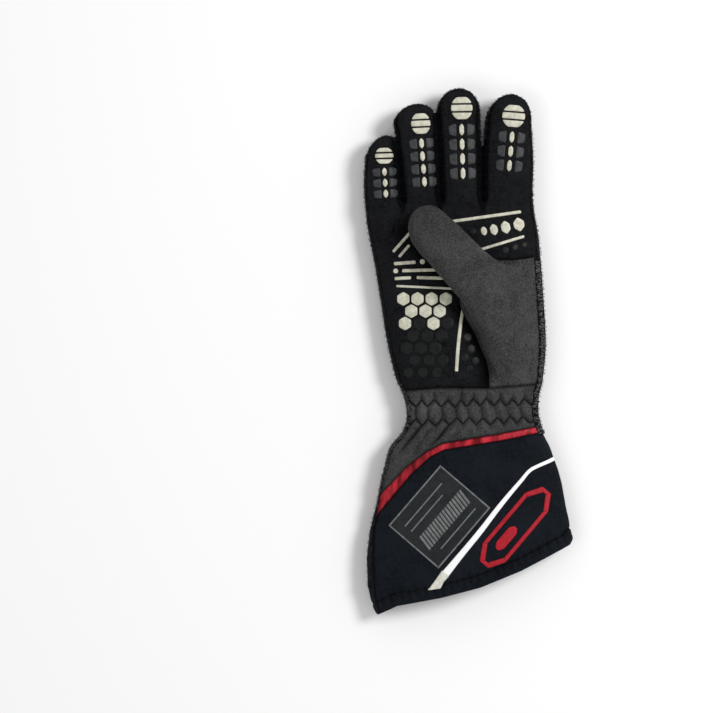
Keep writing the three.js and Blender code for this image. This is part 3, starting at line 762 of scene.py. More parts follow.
def satin(name, dark, light):
    """A satin ribbon whose sheen breaks up over small cross folds; its colour is painted lighter on the
    folds' crests and darker in their hollows, as painted sheen and shade, with a fine grain.
    """
    recipe = Recipe(name, 0.4)
    folds = recipe.noise(0.2, 2.0, 0.5, (1.0, 0.35, 0.2))
    grain = recipe.noise(2.2, 2.0, 0.5)
    # Painted sheen and shade: the colour follows the folds.
    tone = recipe.between(recipe.math("MULTIPLY_ADD", grain, 0.1, folds), 0.42, 0.7)
    recipe.relief(recipe.math("MULTIPLY_ADD", grain, 0.06, folds), 0.4, 0.5)
    recipe.put(recipe.shader.inputs["Roughness"], recipe.between(folds, 0.3, 0.7, 0.32, 0.5))
    return recipe.done(recipe.with_painted_shade(recipe.colours(tone, dark, light), dark), 0.14)


BLACK_KNIT = knit("black_knit", (0.0022, 0.0024, 0.0030), (0.0132, 0.0138, 0.0158), 1.15, 0.015)
# The strips between the fingers: a coarser knit whose colour is darkened several times over, as painted shade
# for the shadow between the fingers.
SHADED_WALL_KNIT = knit("shaded_wall_knit", (0.0008, 0.0009, 0.0014), (0.0040, 0.0044, 0.0058), 1.5, 0.0)
BACK_KNIT = knit("back_knit", (0.0022, 0.0024, 0.0030), (0.0132, 0.0138, 0.0158), 1.3, 0.015)
SUEDE = suede("grey_suede", (0.0195, 0.0200, 0.0195), (0.0700, 0.0710, 0.0694))
WRIST_SUEDE = suede("wrist_suede", (0.0200, 0.0210, 0.0208), (0.0780, 0.0802, 0.0788))
CUFF_CLOTH = twill("cuff_cloth", (0.0017, 0.0028, 0.0049), (0.0088, 0.0113, 0.0155), 0.8)
LINING = knit("lining", (0.0060, 0.0062, 0.0072), (0.0170, 0.0175, 0.0195), 0.9, 0.03)
THREAD = thread("dark_thread", (0.0010, 0.0011, 0.0014), (0.0090, 0.0095, 0.0110))
SEAM_THREAD = thread("overlock_thread", (0.0030, 0.0031, 0.0036), (0.1500, 0.1530, 0.1540))
DARK_SEAM_THREAD = thread("dark_overlock_thread", (0.0014, 0.0015, 0.0020), (0.0210, 0.0220, 0.0245))
WRIST_SEAM_THREAD = thread("wrist_overlock_thread", (0.0018, 0.0019, 0.0024), (0.1200, 0.1220, 0.1230))
SEAM_EDGE = knit("seam_edge", (0.0016, 0.0017, 0.0022), (0.0110, 0.0115, 0.0128), 0.9, 0.0)
KNIT_FUZZ = thread("knit_fuzz", (0.0020, 0.0021, 0.0026), (0.0160, 0.0165, 0.0185))
SUEDE_FUZZ = thread("suede_fuzz", (0.0250, 0.0255, 0.0250), (0.0800, 0.0810, 0.0795))
RED_BAND = satin("red_band", (0.1350, 0.0014, 0.0055), (0.5200, 0.0235, 0.0400))
RED_PRINT = printed("red_print", (0.3100, 0.0080, 0.0160), (0.4300, 0.0180, 0.0300), 0.42, 0.0, 0.12)
TAPE = printed("pale_tape", (0.8600, 0.8700, 0.8800), (0.9200, 0.9250, 0.9300), 0.42, 0.0)
TAPE_END = printed("tape_end", (0.4600, 0.4600, 0.3900), (0.7400, 0.7400, 0.6600), 0.4, 0.1)
CREAM = printed("cream_print", (0.3900, 0.3750, 0.2850), (0.6700, 0.6550, 0.5450), 0.4, 0.0, 0.3)
GREY_PRINT = printed("grey_print", (0.0250, 0.0262, 0.0270), (0.0560, 0.0582, 0.0594), 0.42, 0.0, 0.15)
DARK_PRINT = printed("dark_print", (0.0040, 0.0044, 0.0046), (0.0110, 0.0118, 0.0118), 0.42, 0.0, 0.12)
LABEL_FILM = twill("label_film", (0.0130, 0.0152, 0.0165), (0.0260, 0.0290, 0.0306), 0.6)
LABEL_INK = printed("label_ink", (0.0900, 0.0950, 0.0960), (0.1850, 0.1930, 0.1920), 0.5, 0.0, 0.12)

# Hand: one eased skin, cut into panels along its seams

WALL_WIDTH = 3.2
CROTCH_Y = 88.0
# Sides of the fingers that face another finger: finger, column of its rows, where the strip tapers out
FACING_EDGES = [
    ("index", 1, 161.0), ("middle", 2, 164.0), ("middle", 1, 164.0), ("ring", 2, 154.0),
    ("ring", 1, 154.0), ("little", 2, 134.0),
]


def wall_field(points):
    """How far inside a strip between two fingers each point is."""
    best = np.full(len(points), -50.0)
    for name, column, end in FACING_EDGES:
        rows = finger_rows(name)
        rows = rows[(rows[:, 0] > CROTCH_Y) & (rows[:, 0] < end + 1)]
        gap, _ = from_line(points, rows[:, [column, 0]])
        width = WALL_WIDTH * np.sqrt(np.clip((end - points[:, 1]) / 16, 0, 1))
        width = width * smoothstep(CROTCH_Y - 3, CROTCH_Y + 14, points[:, 1]) - 0.5
        best = np.maximum(best, width - gap)
    return best


def wall_folds(points):
    """Small folds along the strips between the fingers."""
    return wave(points[:, 1], 5.2, 3 * lumps(points, 20, 5))


def beside_mound(points, suede_side):
    """How much the mound of suede shades the knit on its lower left."""
    y = points[:, 1]
    return smoothstep(-9.0, -2.5, suede_side) * smoothstep(34, 16, y) * smoothstep(-26, -18, y)


def beside_thumb(points):
    """How much the thumb shades the knit on its lower left and at its tip."""
    own = off_thumb(points)
    aside = np.maximum(-THUMB_HALF_WIDTH - own[:, 0], 0)
    ahead = np.maximum(own[:, 1] - THUMB_TIP[1] + 4, 0)
    shade = smoothstep(6.0, 0.5, np.hypot(aside, ahead))
    return shade * smoothstep(20, 34, own[:, 1]) * (own[:, 0] < 8)


palm_tube = closed_tube(palm_rows(), PALM_POWER)
finger_tubes = [closed_tube(finger_rows(name), FINGER_POWER) for name in FINGERS]
points, tris = skin([palm_tube] + finger_tubes, HAND_VOXEL)
normals = vertex_normals(points, tris)
rise = points[:, 2] - seam_height(points[:, 1])
wall = wall_field(points)
suede_side = inside_outline(points, SUEDE_EDGE)
wrist_side = above_line(points, WRIST_SEAM)
mound_gap, _ = from_line(points, MOUND_EDGE)
on_front = smoothstep(2, 6, rise)
sideways = np.abs(normals[:, 0]) * smoothstep(-1, 1, wall)
push = 0.32 * lumps(points, 17, 3) + 0.12 * lumps(points, 6, 4)
push -= 0.6 * near(wall, 0.6) - 0.16 * near(wall + 1.7, 1.0)
push += 0.28 * sideways * wall_folds(points)
push -= 2.4 * on_front * near(mound_gap, 5.0)
push -= 1.1 * on_front * smoothstep(-0.9, 0.9, suede_side)
push -= 0.7 * near(wrist_side, 0.9)
push -= 0.45 * near(rise, 0.8)
points = pushed(points, normals, push)
# Painted shade: darker in the seams, in the folds' hollows on the strips between the fingers, and in the
# shadows that the mound and the thumb cast on the knit.
painted_shade = 0.9 * near(wall, 0.6) + 0.5 * near(rise, 0.8)
painted_shade += 0.8 * on_front * near(suede_side, 1.4) + 0.8 * near(wrist_side, 1.0)
painted_shade += 0.5 * sideways * np.clip(-wall_folds(points), 0, 1)
painted_shade += 0.85 * on_front * beside_mound(points, suede_side)
painted_shade += 0.6 * on_front * beside_thumb(points)

WALL, RISE, SUEDE_SIDE, WRIST_SIDE = 3, 4, 5, 6
table = np.column_stack([points, wall, rise, suede_side, wrist_side, painted_shade])
hand = cut((table, tris), WRIST_SIDE)
walls = cut(hand, WALL)
panels = cut(hand, WALL, -1)
front = cut(cut(panels, RISE), SUEDE_SIDE, -1, 4.0)
back = cut(panels, RISE, -1)
hand_surface = Surface(*hand)
add_cloth("front_panel_knit", front, BLACK_KNIT, "black_knit", "front_panel")
add_cloth("back_panel_knit", back, BACK_KNIT, "black_knit", "back_panel")
wall_x = walls[0][walls[1]][:, :, 0].mean(1)
for name, low, high in (("index_middle", -6, 60), ("middle_ring", -33, -6), ("ring_little", -90, -33)):
    part = tidied(walls[0], walls[1][(wall_x > low) & (wall_x < high)])
    add_cloth("wall_" + name, part, SHADED_WALL_KNIT, "black_knit", "side_strip_" + name)

# Suede palm patch that runs on into the thumb

points, tris = skin([palm_tube, thumb_tube()], SUEDE_VOXEL)
normals = vertex_normals(points, tris)
rise = points[:, 2] - seam_height(points[:, 1])
zone = np.maximum(inside_outline(points, SUEDE_EDGE), points[:, 2] - THUMB_SPLIT_Z)
wrist_side = above_line(points, WRIST_SEAM)
thumb_y = off_thumb(points)[:, 1]
below_seam = THUMB_SEAM_Z - points[:, 2]
under = np.minimum(thumb_y - THUMB_UNDER_START, below_seam)
push = 0.5 * lumps(points, 24, 11) + 0.16 * lumps(points, 8, 12)
push -= 0.5 * near(zone, 0.7) + 0.7 * near(wrist_side, 0.9) + 0.45 * near(rise, 0.8)
push -= 0.35 * near(below_seam, 0.5) * (thumb_y > THUMB_SEAM_START)
points = pushed(points, normals, push)
# Painted shade in the seams round the suede and along the seam under the thumb.
painted_shade = 0.8 * near(zone, 0.7) + 0.8 * near(wrist_side, 0.9) + 0.6 * near(rise, 0.8)
painted_shade += 0.5 * near(under, 0.5) * (thumb_y > THUMB_SEAM_START)
# The thumb turns a little away from the light towards its tip.
painted_shade += 0.2 * smoothstep(26, 80, thumb_y) * (points[:, 2] > THUMB_SPLIT_Z)
# Painted shade on the suede along the foot of the mound on its lower left.
mound_foot_shade = smoothstep(22, 10, points[:, 1]) * smoothstep(-26, -18, points[:, 1])
painted_shade += 0.4 * smoothstep(5.0, 0.5, zone) * mound_foot_shade * smoothstep(2, 6, rise)

ZONE, RISE, WRIST_SIDE, UNDER = 3, 4, 5, 6
table = np.column_stack([points, zone, rise, wrist_side, under, painted_shade])
suede_skin = cut(cut(cut((table, tris), ZONE), RISE), WRIST_SIDE)
underside = cut(suede_skin, UNDER)
patch = cut(suede_skin, UNDER, -1)
add_cloth("suede_palm_thumb", patch, SUEDE, "grey_suede", "suede_palm_and_thumb")
add_cloth("suede_thumb_under", underside, SUEDE, "grey_suede", "thumb_underside")
suede_surface = Surface(*merged([patch, underside]))

# Wrist gathered by two rows of zigzag elastic

# The part of the band's width that shows between the wrist and the cuff
BAND_SHARE = 0.92
GATHER = 8.3
ROW_ONE_Y = -32.3
ROW_TWO_Y = -44.0
ROW_TILT = 0.02
ZIGZAG_RISE = 2.1
ZIGZAG_SLOPE = 0.7
# The first low and high points of the upper row, and the number of its longest gather
ROW_ONE_X = -34.2
ROW_ONE_HIGH_X = ROW_ONE_X + GATHER / 2
LONG_GATHER = 3
FOLD_SLANT = 0.8


def hand_sewn(x):
    """Places across the wrist, drawn a little uneven as the gathers are."""
    return x + 0.32 * wave(x, 29, 0.7) + 0.2 * wave(x, 12.5, 2.0)


def row_shift(x):
    """How far to the right the lower row's high points lie from the upper row's low points."""
    return 1.6 + 0.045 * x


def zigzag(x, row):
    """Height of an elastic row's line at a place across the wrist."""
    at = hand_sewn(x) - ROW_ONE_X - row * (row_shift(x) + GATHER / 2)
    phase = np.mod(at / GATHER, 1.0)
    sway = ROW_TILT * x + 0.35 * wave(x, 37, 2.4 * row)
    return (ROW_ONE_Y, ROW_TWO_Y)[row] + sway + ZIGZAG_RISE * (1 - 4 * np.abs(phase - 0.5))


def band_half_width(points):
    """Distance from the middle of the band, how far along it, and half the width that shows there."""
    gap, along = from_line(points, BAND_LINE)
    line = np.array(BAND_LINE)
    return gap, along, np.interp(along, travel_along(line[:, :2]), line[:, 2]) / 2 * BAND_SHARE


def dips(at, centre):
    """How deep in a crease a place is, from 0 between two creases to 1 in one, and the crease's number."""
    phase = (at - centre) / GATHER
    number = np.round(phase)
    return (1 - 2 * np.abs(phase - number)) ** 2, number


def gathers(points, shift):
    """How far the gathered suede stands out, from 0 to 1, and how much painted shade it gets deep in a crease
    or stitch row.
    """
    x, y = points[:, 0] + shift, points[:, 1]
    first, second = zigzag(x, 0), zigzag(x, 1)
    x = hand_sewn(x)

    share = np.clip((ROW_ONE_Y - y) / (ROW_ONE_Y - ROW_TWO_Y), 0, 1)
    between, _ = dips(x - row_shift(x) * share, ROW_ONE_X)

    over, number = dips(x, ROW_ONE_HIGH_X)
    reach = 8.0 + 9.0 * (number == LONG_GATHER)
    over = over * (0.7 + 0.3 * np.sin(2.4 * number)) * smoothstep(reach, 0.5, y - first)

    drop = np.maximum(ROW_TWO_Y - ZIGZAG_RISE - y, 0)
    slanted = x + FOLD_SLANT * drop
    fan = smoothstep(6, -9, slanted)
    long, number = dips(slanted - row_shift(slanted), ROW_ONE_HIGH_X)
    short, _ = dips(x - row_shift(x), ROW_ONE_HIGH_X)
    long = long * fan * (0.75 + 0.25 * np.sin(3.1 * number + 1.2)) * smoothstep(27, 8, drop)
    below = long + short * (1 - fan) * smoothstep(6.0, 0.0, drop)

    depth = np.where(y > first, over, np.where(y < second, below, between))
    row_gap = ZIGZAG_SLOPE * np.minimum(np.abs(y - first), np.abs(y - second))
    puff = (1 - depth) * np.tanh(row_gap / 1.7)
    pinch_shade = np.maximum(0.8 * near(row_gap, 0.6), 0.5 * smoothstep(0.6, 1.0, depth))
    # The long folds below the lower row get painted shade in their hollows as well.
    return puff, np.maximum(pinch_shade, np.where(y < second, 0.75 * smoothstep(0.12, 0.95, long), 0))


points, tris, normals = sleeve(WRIST_ROWS, WRIST_POWER, WRIST_STEP)
rise = points[:, 2] - SEAM_Z
hand_side = above_line(points, WRIST_SEAM)
cuff_side = above_line(points, BAND_LINE)
edge_fade = smoothstep(0.5, 5.0, np.abs(rise))
beyond_band = cuff_side - band_half_width(points)[2]
strength = smoothstep(-1.0, 5.0, beyond_band)
puffs, pinch_shade = gathers(points, np.where(rise > 0, 0.0, 3.1))
push = 2.9 * (puffs - 0.6) * edge_fade * strength
push += 0.35 * lumps(points, 11, 21) + 0.16 * lumps(points, 4, 22)
push -= 1.3 * smoothstep(1.6, -0.6, beyond_band)
push -= 2.3 * smoothstep(-1.8, 0.3, hand_side)
points = pushed(points, normals, push)
# Painted shade in the gathers' creases and stitch rows, at the seam to the hand, where the wrist tucks under
# the band and along the side seam; the wrist is also painted darker away from its middle.
painted_shade = pinch_shade * edge_fade * strength + 0.7 * near(hand_side, 1.0)
painted_shade += 0.18 * (1 - near(points[:, 1] + 38, 9.0))
painted_shade += 0.6 * smoothstep(1.5, 0.0, beyond_band) + 0.5 * near(rise, 1.2)

HAND_SIDE, CUFF_SIDE = 3, 4
table = np.column_stack([points, hand_side, cuff_side, painted_shade])
wrist = cut(cut((table, tris), HAND_SIDE, -1, 2.5), CUFF_SIDE, 1, 0.4)
add_cloth("wrist_gathers", wrist, WRIST_SUEDE, "grey_suede", "wrist_front", "wrist_back")
wrist_surface = Surface(*wrist)

# Cuff with its hem, and the band above it

HEM = 7.7
CUFF_WALL = 1.7
CUFF_SEAM = [(-57.6, -104.0), (-60.4, -112.0), (-60.9, -133.0), (-59.4, -155.0), (-56.3, -166.3)]

points, tris, normals = sleeve(CUFF_ROWS, CUFF_POWER, CUFF_STEP)
mouth = above_line(points, MOUTH_LINE)
band_gap, band_along, band_half = band_half_width(points)
band_side = above_line(points, BAND_LINE)
_, hem_along = from_line(points, MOUTH_LINE)
seam_gap, _ = from_line(points, CUFF_SEAM)
pucker = wave(hem_along, 5.4, 2.6 * lumps(points, 25, 33))
pucker_area = near(mouth - HEM + 1.5, 3.6)
push = 0.5 * lumps(points, 34, 31) + 0.2 * lumps(points, 12, 32)
push += 0.45 * smoothstep(HEM + 0.2, HEM - 1.6, mouth) - 0.7 * near(mouth - HEM, 0.6)
push += 0.34 * pucker * pucker_area
push -= 0.8 * np.clip(1 - mouth / 1.2, 0, 1) ** 2
push -= 0.6 * near(seam_gap, 0.6)
push += 0.22 * wave(band_along, 7.5) * np.exp(-np.abs(band_gap - 2) / 7)
push -= 0.7 * smoothstep(1.5, -0.5, band_gap - band_half)
# Painted shade in the hem's groove, the cuff's seam, the puckers' hollows and beside the band.
painted_shade = 0.65 * near(mouth - HEM, 0.6) + 0.8 * near(seam_gap, 0.7)
painted_shade += 0.55 * np.clip(-pucker, 0, 1) * pucker_area + 0.7 * smoothstep(1.5, 0.2, band_gap - band_half)

MOUTH, BAND_SIDE = 3, 4
table = np.column_stack([pushed(points, normals, push), mouth, band_side, painted_shade])
cuff = cut(cut((table, tris), MOUTH), BAND_SIDE, -1, 0.4)
cuff_piece = add_cloth("cuff_shell", cuff, CUFF_CLOTH, "cuff_cloth", "cuff_front", "cuff_back")
cuff_piece.data.materials.append(LINING)
cuff_wall = cuff_piece.modifiers.new("wall", "SOLIDIFY")
cuff_wall.thickness = CUFF_WALL * MM
cuff_wall.offset = -1
cuff_wall.use_even_offset = False
cuff_wall.material_offset = 1
cuff_surface = Surface(*cuff)

# How far along the band its slope turns it away from the light
SHADED_ALONG = 73.0
INSIDE = 3

band_rows = [row for row in CUFF_ROWS if row[0] > -120]
points, tris, normals = sleeve(band_rows, CUFF_POWER, BAND_STEP)
band_gap, band_along, band_half = band_half_width(points)
inside = band_half - band_gap
dome = np.clip(1 - (band_gap / band_half) ** 4, 0, 1) ** 0.4
cross_folds = lumps(np.column_stack([band_along, 0.25 * band_gap, 0 * band_gap]), 6.5, 43)
push = 1.3 * dome - 0.9 + 0.16 * lumps(points, 9, 41) + 0.07 * lumps(points, 3, 42)
push += 0.16 * cross_folds
turned_away = 0.5 * np.exp(-(((band_along - SHADED_ALONG) / 9.0) ** 4))
# Painted shade where the band's edges tuck under, and where it turns away from the light.
painted_shade = np.maximum(0.6 * smoothstep(0.9, 0.0, inside), turned_away)
band = cut((np.column_stack([pushed(points, normals, push), inside, painted_shade]), tris), INSIDE)
add_cloth("red_band_cord", band, RED_BAND, "red_band", "red_band_front", "red_band_back")

# Prints and films laid on the cloth


def rounded(outline, radius, parts=4):
    """A closed outline with its corners rounded off."""
    outline = np.asarray(outline, float)
    made = []
    for i, corner in enumerate(outline):
        sides = []
        for other in (outline[i - 1], outline[(i + 1) % len(outline)]):
            length = np.linalg.norm(other - corner)
            sides.append(corner + (other - corner) / length * min(radius, length * 0.45))
        for t in np.linspace(0, 1, parts + 1):
            made.append((1 - t) ** 2 * sides[0] + 2 * t * (1 - t) * corner + t * t * sides[1])
    return np.array(made)


def anticlockwise(outline):
    x, y = outline[:, 0], outline[:, 1]
    area = np.sum(x * np.roll(y, -1) - y * np.roll(x, -1))
    return outline if area > 0 else outline[::-1]


def raised(outlines, surface, thickness, bevel=0.3, step=0.85):
    """Raised shapes over closed outlines, laid on a surface."""
    meshes = []
    for outline in outlines:
        outline = anticlockwise(np.asarray(outline, float)[:, :2])
        ring = even_steps(np.vstack([outline, outline[:1]]), step)[:-1]
        inner = ring + bevel * left_of(units(np.roll(ring, -1, 0) - np.roll(ring, 1, 0)))
        low, high = inner.min(0), inner.max(0)
        xs, ys = (np.arange(low[k] + step * 0.7, high[k], step * 1.35) for k in (0, 1))
        inside_points = np.array([(x, y) for x in xs for y in ys]).reshape(-1, 2)
        if len(inside_points):
            inside_points = inside_points[inside_outline(inside_points, inner) > step * 0.5]
        n = len(inner)
        edges = [(i, (i + 1) % n) for i in range(n)]
        flat = [Vector(p) for p in np.vstack([inner, inside_points])]
        verts, _, faces, origins, _, _ = delaunay_2d_cdt(flat, edges, [], 1, 1e-5)
        source = {old[0]: new for new, old in enumerate(origins) if old}
        if any(i not in source for i in range(n)):
            raise ValueError("an outline crosses itself")
        top = [(p.x, p.y) for p in verts]
        shoulder = list(ring * 0.35 + inner * 0.65)
        places = []
        for spots, height in ((top, thickness), (shoulder, thickness * 0.82), (list(ring), -0.12)):
            for spot in spots:
                at, normal = surface.down(*spot)
                places.append(at + normal * height)
        count = len(verts)
        tris = [tuple(face) for face in faces]
        for i, j in edges:
            a, b, c, d = source[i], source[j], count + i, count + j
            tris += [(a, c, b), (b, c, d), (c, c + n, d), (d, c + n, d + n)]
        meshes.append((np.array(places), np.array(tris)))
    return merged(meshes)


def bar(a, b, width, end=0.0):
    """Outline of a straight bar, with ends drawn out to points by end."""
    a, b = np.array(a, float), np.array(b, float)
    along = (b - a) / np.linalg.norm(b - a)
    side = np.array([-along[1], along[0]]) * width / 2
    if not end:
        return np.array([a - side, b - side, b + side, a + side])
    near_a, near_b = a + along * end, b - along * end
    return np.array([a, near_a - side, near_b - side, b, near_b + side, near_a + side])


def ribbon(line):
    """Outline of a strip along a line of x, y, width."""
    line = smooth_line(line, 1.0)
    side = left_of(units(np.gradient(line[:, :2], axis=0))) * line[:, 2:3] / 2
    return np.vstack([line[:, :2] - side, (line[:, :2] + side)[::-1]])


def hexagon(x, y, radius):
    angles = np.radians(np.arange(6) * 60 + 30)
    return np.array([x, y]) + radius * np.stack([np.cos(angles), np.sin(angles)], 1)


def turned_outline(outline, centre, degrees):
    c, s = math.cos(math.radians(degrees)), math.sin(math.radians(degrees))
    return np.asarray(outline, float) @ np.array([[c, s], [-s, c]]) + np.array(centre)


def add_print(name, outlines, surface, sizes, material, slot, *replaced):
    """A print of raised shapes, with sizes of its thickness, bevel and step."""
    add_piece(name, *raised(outlines, surface, *sizes), material, slot, replaced)


# Fingertip pads: centre, half width, half length, turn
PADS = {
    "index": ((28.6, 150.4), 7.3, 7.7, -4),
    "middle": ((-4.4, 155.4), 6.9, 7.8, 1),
    "ring": ((-30.5, 145.6), 6.2, 7.2, 3),
    "little": ((-53.8, 125.2), 5.8, 5.7, 2),
}
# Where the slits cut a pad, as parts of its half length
PAD_PARTS = [(-0.97, -0.3), (-0.3, 0.34), (0.34, 0.97)]
PAD_SLIT = 0.45
for name, (centre, half, length, turn) in PADS.items():
    shapes = []
    for low, high in PAD_PARTS:
        ys = np.linspace(low * length + PAD_SLIT, high * length - PAD_SLIT, 12)
        xs = half * np.sqrt(np.clip(1 - (ys / length) ** 2, 0.02, 1))
        outline = np.vstack([np.stack([xs, ys], 1), np.stack([-xs, ys], 1)[::-1]])
        shapes.append(rounded(turned_outline(outline, centre, turn), 0.5, 2))
    add_print("pad_" + name, shapes, hand_surface, [0.62], CREAM, "grip_pad", "tip_pad_" + name)

# Down each finger: where the pale lozenges start and end, how many, and how far the grey ones stand off
FINGER_PRINTS = [
    ((28.0, 141.6), (25.6, 114.4), 3, 6.1),
    ((-4.6, 146.4), (-3.4, 109.4), 4, 5.9),
    ((-30.3, 137.2), (-27.8, 104.6), 4, 5.4),
    ((-53.8, 118.4), (-52.5, 97.6), 3, 5.2),
]
FLANK_HALF_WIDTH = 2.9
FLANK_HALF_LENGTH = 0.43
FLANK_CORNERS = [(-1.0, -0.9), (-0.7, 0.9), (0.75, 0.75), (1.05, -0.9)]
lozenges, flanks = [], []
for start, end, count, off in FINGER_PRINTS:
    start = np.array(start)
    pitch = (np.array(end) - start) / count
    length = np.linalg.norm(pitch)
    side = np.array([-pitch[1], pitch[0]]) / length
    tall = pitch / length * (length * FLANK_HALF_LENGTH)
    for k in range(count):
        ends = start + pitch * (k + 0.06), start + pitch * (k + 0.94)
        lozenges.append(rounded(bar(*ends, 3.1, 1.9), 0.6, 2))
        for sign in (-1, 1):
            middle = start + pitch * (k + 0.5) + side * sign * off
            across = side * sign * FLANK_HALF_WIDTH
            corners = [middle + tall * along + across * aside for along, aside in FLANK_CORNERS]
            flanks.append(rounded(corners, 1.1, 3))
add_print("finger_lozenges", lozenges, hand_surface, [0.5], CREAM, "grip_pad")
add_print("finger_flanks", flanks, hand_surface, [0.42], GREY_PRINT, "grey_print")

# Grip prints on the palm: bars of two ends and a width, pointed cells with how far their ends are drawn out
PALM_BARS = [
    ((-14, 82.8), (33.6, 89.6), 2.1), ((4, 64.2), (35.6, 74), 1.9), ((-48.2, 63.8), (-36.6, 76.9), 2),
    ((-44.4, 60.6), (-37.6, 68.4), 1.9), ((-47.6, 56.4), (-33.6, 57.4), 2.3),
    ((-42.4, 51.9), (-20.4, 52.5), 2.2), ((-47.2, 46.9), (-36.6, 47.5), 2.2),
    ((-33.2, 47.6), (-15.6, 47.1), 2.2), ((-46.2, 42.2), (-8.6, 40.4), 1.6),
]
PALM_RIBBON = [(-1.9, 34.0, 1.9), (-3.6, 27.0, 2.0), (-5.6, 14.0, 2.3), (-7.0, 0.0, 2.3), (-7.8, -12.2, 2.2)]
POINTED_CELLS = [
    ((10.4, 74.0), (9.0, 80.4), 4.0, 1.8), ((17.0, 74.2), (15.2, 82.0), 5.0, 2.2),
    ((24.6, 75.2), (22.6, 84.0), 6.0, 2.6), ((33.2, 76.8), (31.0, 86.2), 7.0, 3.0),
]
PALE_HEXAGONS = [(-29.4, 57.7, 2.0), (-46.4, 51.8, 1.9)]
DARK_HEXAGONS = [(23.4, 65.0, 2.6), (29.6, 66.9, 2.6), (35.6, 68.6, 2.3), (2.6, 77.0, 2.6)]
HEEL_HEXAGONS = [(-0.6, 9.6, 3.2), (1.6, 2.2, 3.2), (-2.4, -3.4, 2.9), (4.4, -5.4, 2.9), (0.6, -10.4, 2.7)]
# The honeycomb: its cells' radius and spacing, its first cell, how far each row leans, how many rows are pale
CELL = 4.55
CELL_STEP = CELL * math.sqrt(3) + 1.15
CELL_ROW = CELL * 1.5 + 1.0
CELL_START = (-41.6, 34.0)
CELL_LEAN = 0.55
PALE_ROWS = 3
palm_cells = [bar(*cell) for cell in POINTED_CELLS] + [hexagon(*cell) for cell in PALE_HEXAGONS]
dark_cells = [hexagon(*cell) for cell in DARK_HEXAGONS]
for row in range(7):
    y = CELL_START[1] - row * CELL_ROW
    edge_left = np.interp(y, [-15, 5, 40], [-43.4, -46.6, -49.2])
    edge_right = np.interp(y, [-15, 5, 28, 40], [-10.5, -9.6, -7.5, -6.0])
    size = CELL if row < 5 else CELL * (1 - 0.09 * (row - 4))
    for column in range(-1, 6):
        x = CELL_START[0] + (column + (row % 2) / 2) * CELL_STEP + row * CELL_LEAN
        if edge_left + CELL <= x <= edge_right - CELL * 0.8:
            pale = row < PALE_ROWS and not (row == PALE_ROWS - 1 and column in (1, 3))
            (palm_cells if pale else dark_cells).append(hexagon(x, y, size))
dark_cells += [hexagon(*cell) for cell in HEEL_HEXAGONS]
pale_shapes = [rounded(bar(*ends), 0.7, 3) for ends in PALM_BARS] + [ribbon(PALM_RIBBON)]
pale_shapes += [rounded(cell, 0.9, 3) for cell in palm_cells]
dark_shapes = [rounded(cell, 0.9, 3) for cell in dark_cells]
add_print("palm_print_pale", pale_shapes, hand_surface, [0.45], CREAM, "grip_pad")
add_print("palm_print_grey", dark_shapes, hand_surface, [0.42], DARK_PRINT, "grey_print")

# Label area, emblem and tape on the cuff
LABEL_PLACE = (-18.6, -104.8), 49.5
LABEL_HALF = (25.5, 21.0)
LABEL_LINE = 1.1
# The hatched field's bottom and top, its first bar, and the bars' spacing, width and lean
HATCH_Y = (-9.0, 1.4)
HATCH_START, HATCH_STEP, HATCH_WIDTH, HATCH_LEAN = -20.4, 2.4, 1.75, 2.2
LABEL_RULES = [(12.2, -19.0, 17.5), (7.0, -19.0, 12.0), (-14.4, -15.0, 19.0)]


def label_box(x0, y0, x1, y1, lean=0.0):
    corners = [(x0, y0), (x1, y0), (x1 + lean, y1), (x0 + lean, y1)]
    return turned_outline(corners, *LABEL_PLACE)


w, h = LABEL_HALF
t = LABEL_LINE
label_lines = [
    label_box(-w, -h, w, -h + t),
    label_box(-w, h - t, w, h),
    label_box(-w, -h + t + 0.02, -w + t, h - t - 0.02),
    label_box(w - t, -h + t + 0.02, w, h - t - 0.02),
]
for k in range(17):
    x0 = HATCH_START + k * HATCH_STEP
    label_lines.append(label_box(x0, HATCH_Y[0], x0 + HATCH_WIDTH, HATCH_Y[1], HATCH_LEAN))
label_lines += [label_box(x0, y0, x1, y0 + 1.0) for y0, x0, x1 in LABEL_RULES]
ground = [label_box(-w, -h, w, h)]
add_print("label_ground", ground, cuff_surface, [0.12, 0.15, 1.3], LABEL_FILM, "grey_print", "label_print")
add_print("label_lines", label_lines, cuff_surface, [0.26, 0.12, 0.9], LABEL_INK, "grey_print")

EMBLEM_PLACE = (29.8, -111.6), -40.5
# Places along the emblem and its half width there
EMBLEM_STATIONS = [(-31.0, 3.6), (-21.0, 9.5), (21.0, 9.5), (31.0, 3.6)]
EMBLEM_WIDTH = 2.5


def emblem_edge(scale_long, less):
    side = [(half - less, along * scale_long) for along, half in EMBLEM_STATIONS]
    return np.array(side + [(-x, y) for x, y in side[::-1]])


outer = emblem_edge(1.0, 0.0)
inner = emblem_edge(1 - EMBLEM_WIDTH / EMBLEM_STATIONS[-1][0], EMBLEM_WIDTH)
frames = zip(outer, np.roll(outer, -1, 0), np.roll(inner, -1, 0), inner)
emblem = [turned_outline(quad, *EMBLEM_PLACE) for quad in frames]
core = [(x * 0.34, y * 0.3 - 9.0) for x, y in outer]
emblem.append(rounded(turned_outline(core, *EMBLEM_PLACE), 0.8, 3))
add_print("emblem_outline", emblem, cuff_surface, [0.34, 0.02, 0.8], RED_PRINT, "red_print", "emblem_print")

TAPE_TAIL = [
    (-12.4, -142.6), (-16.9, -138.7), (-21.2, -145.0), (-26.2, -151.7), (-17.9, -150.5), (-15.9, -146.4),
]
tape, tail = [ribbon(TAPE_LINE)], [rounded(TAPE_TAIL, 0.4, 2)]
add_print("tape_strip", tape, cuff_surface, [0.34, 0.2, 0.9], TAPE, "pale_tape", "pale_tape")
add_print("tape_tail", tail, cuff_surface, [0.6, 0.25, 0.9], TAPE_END, "pale_tape")

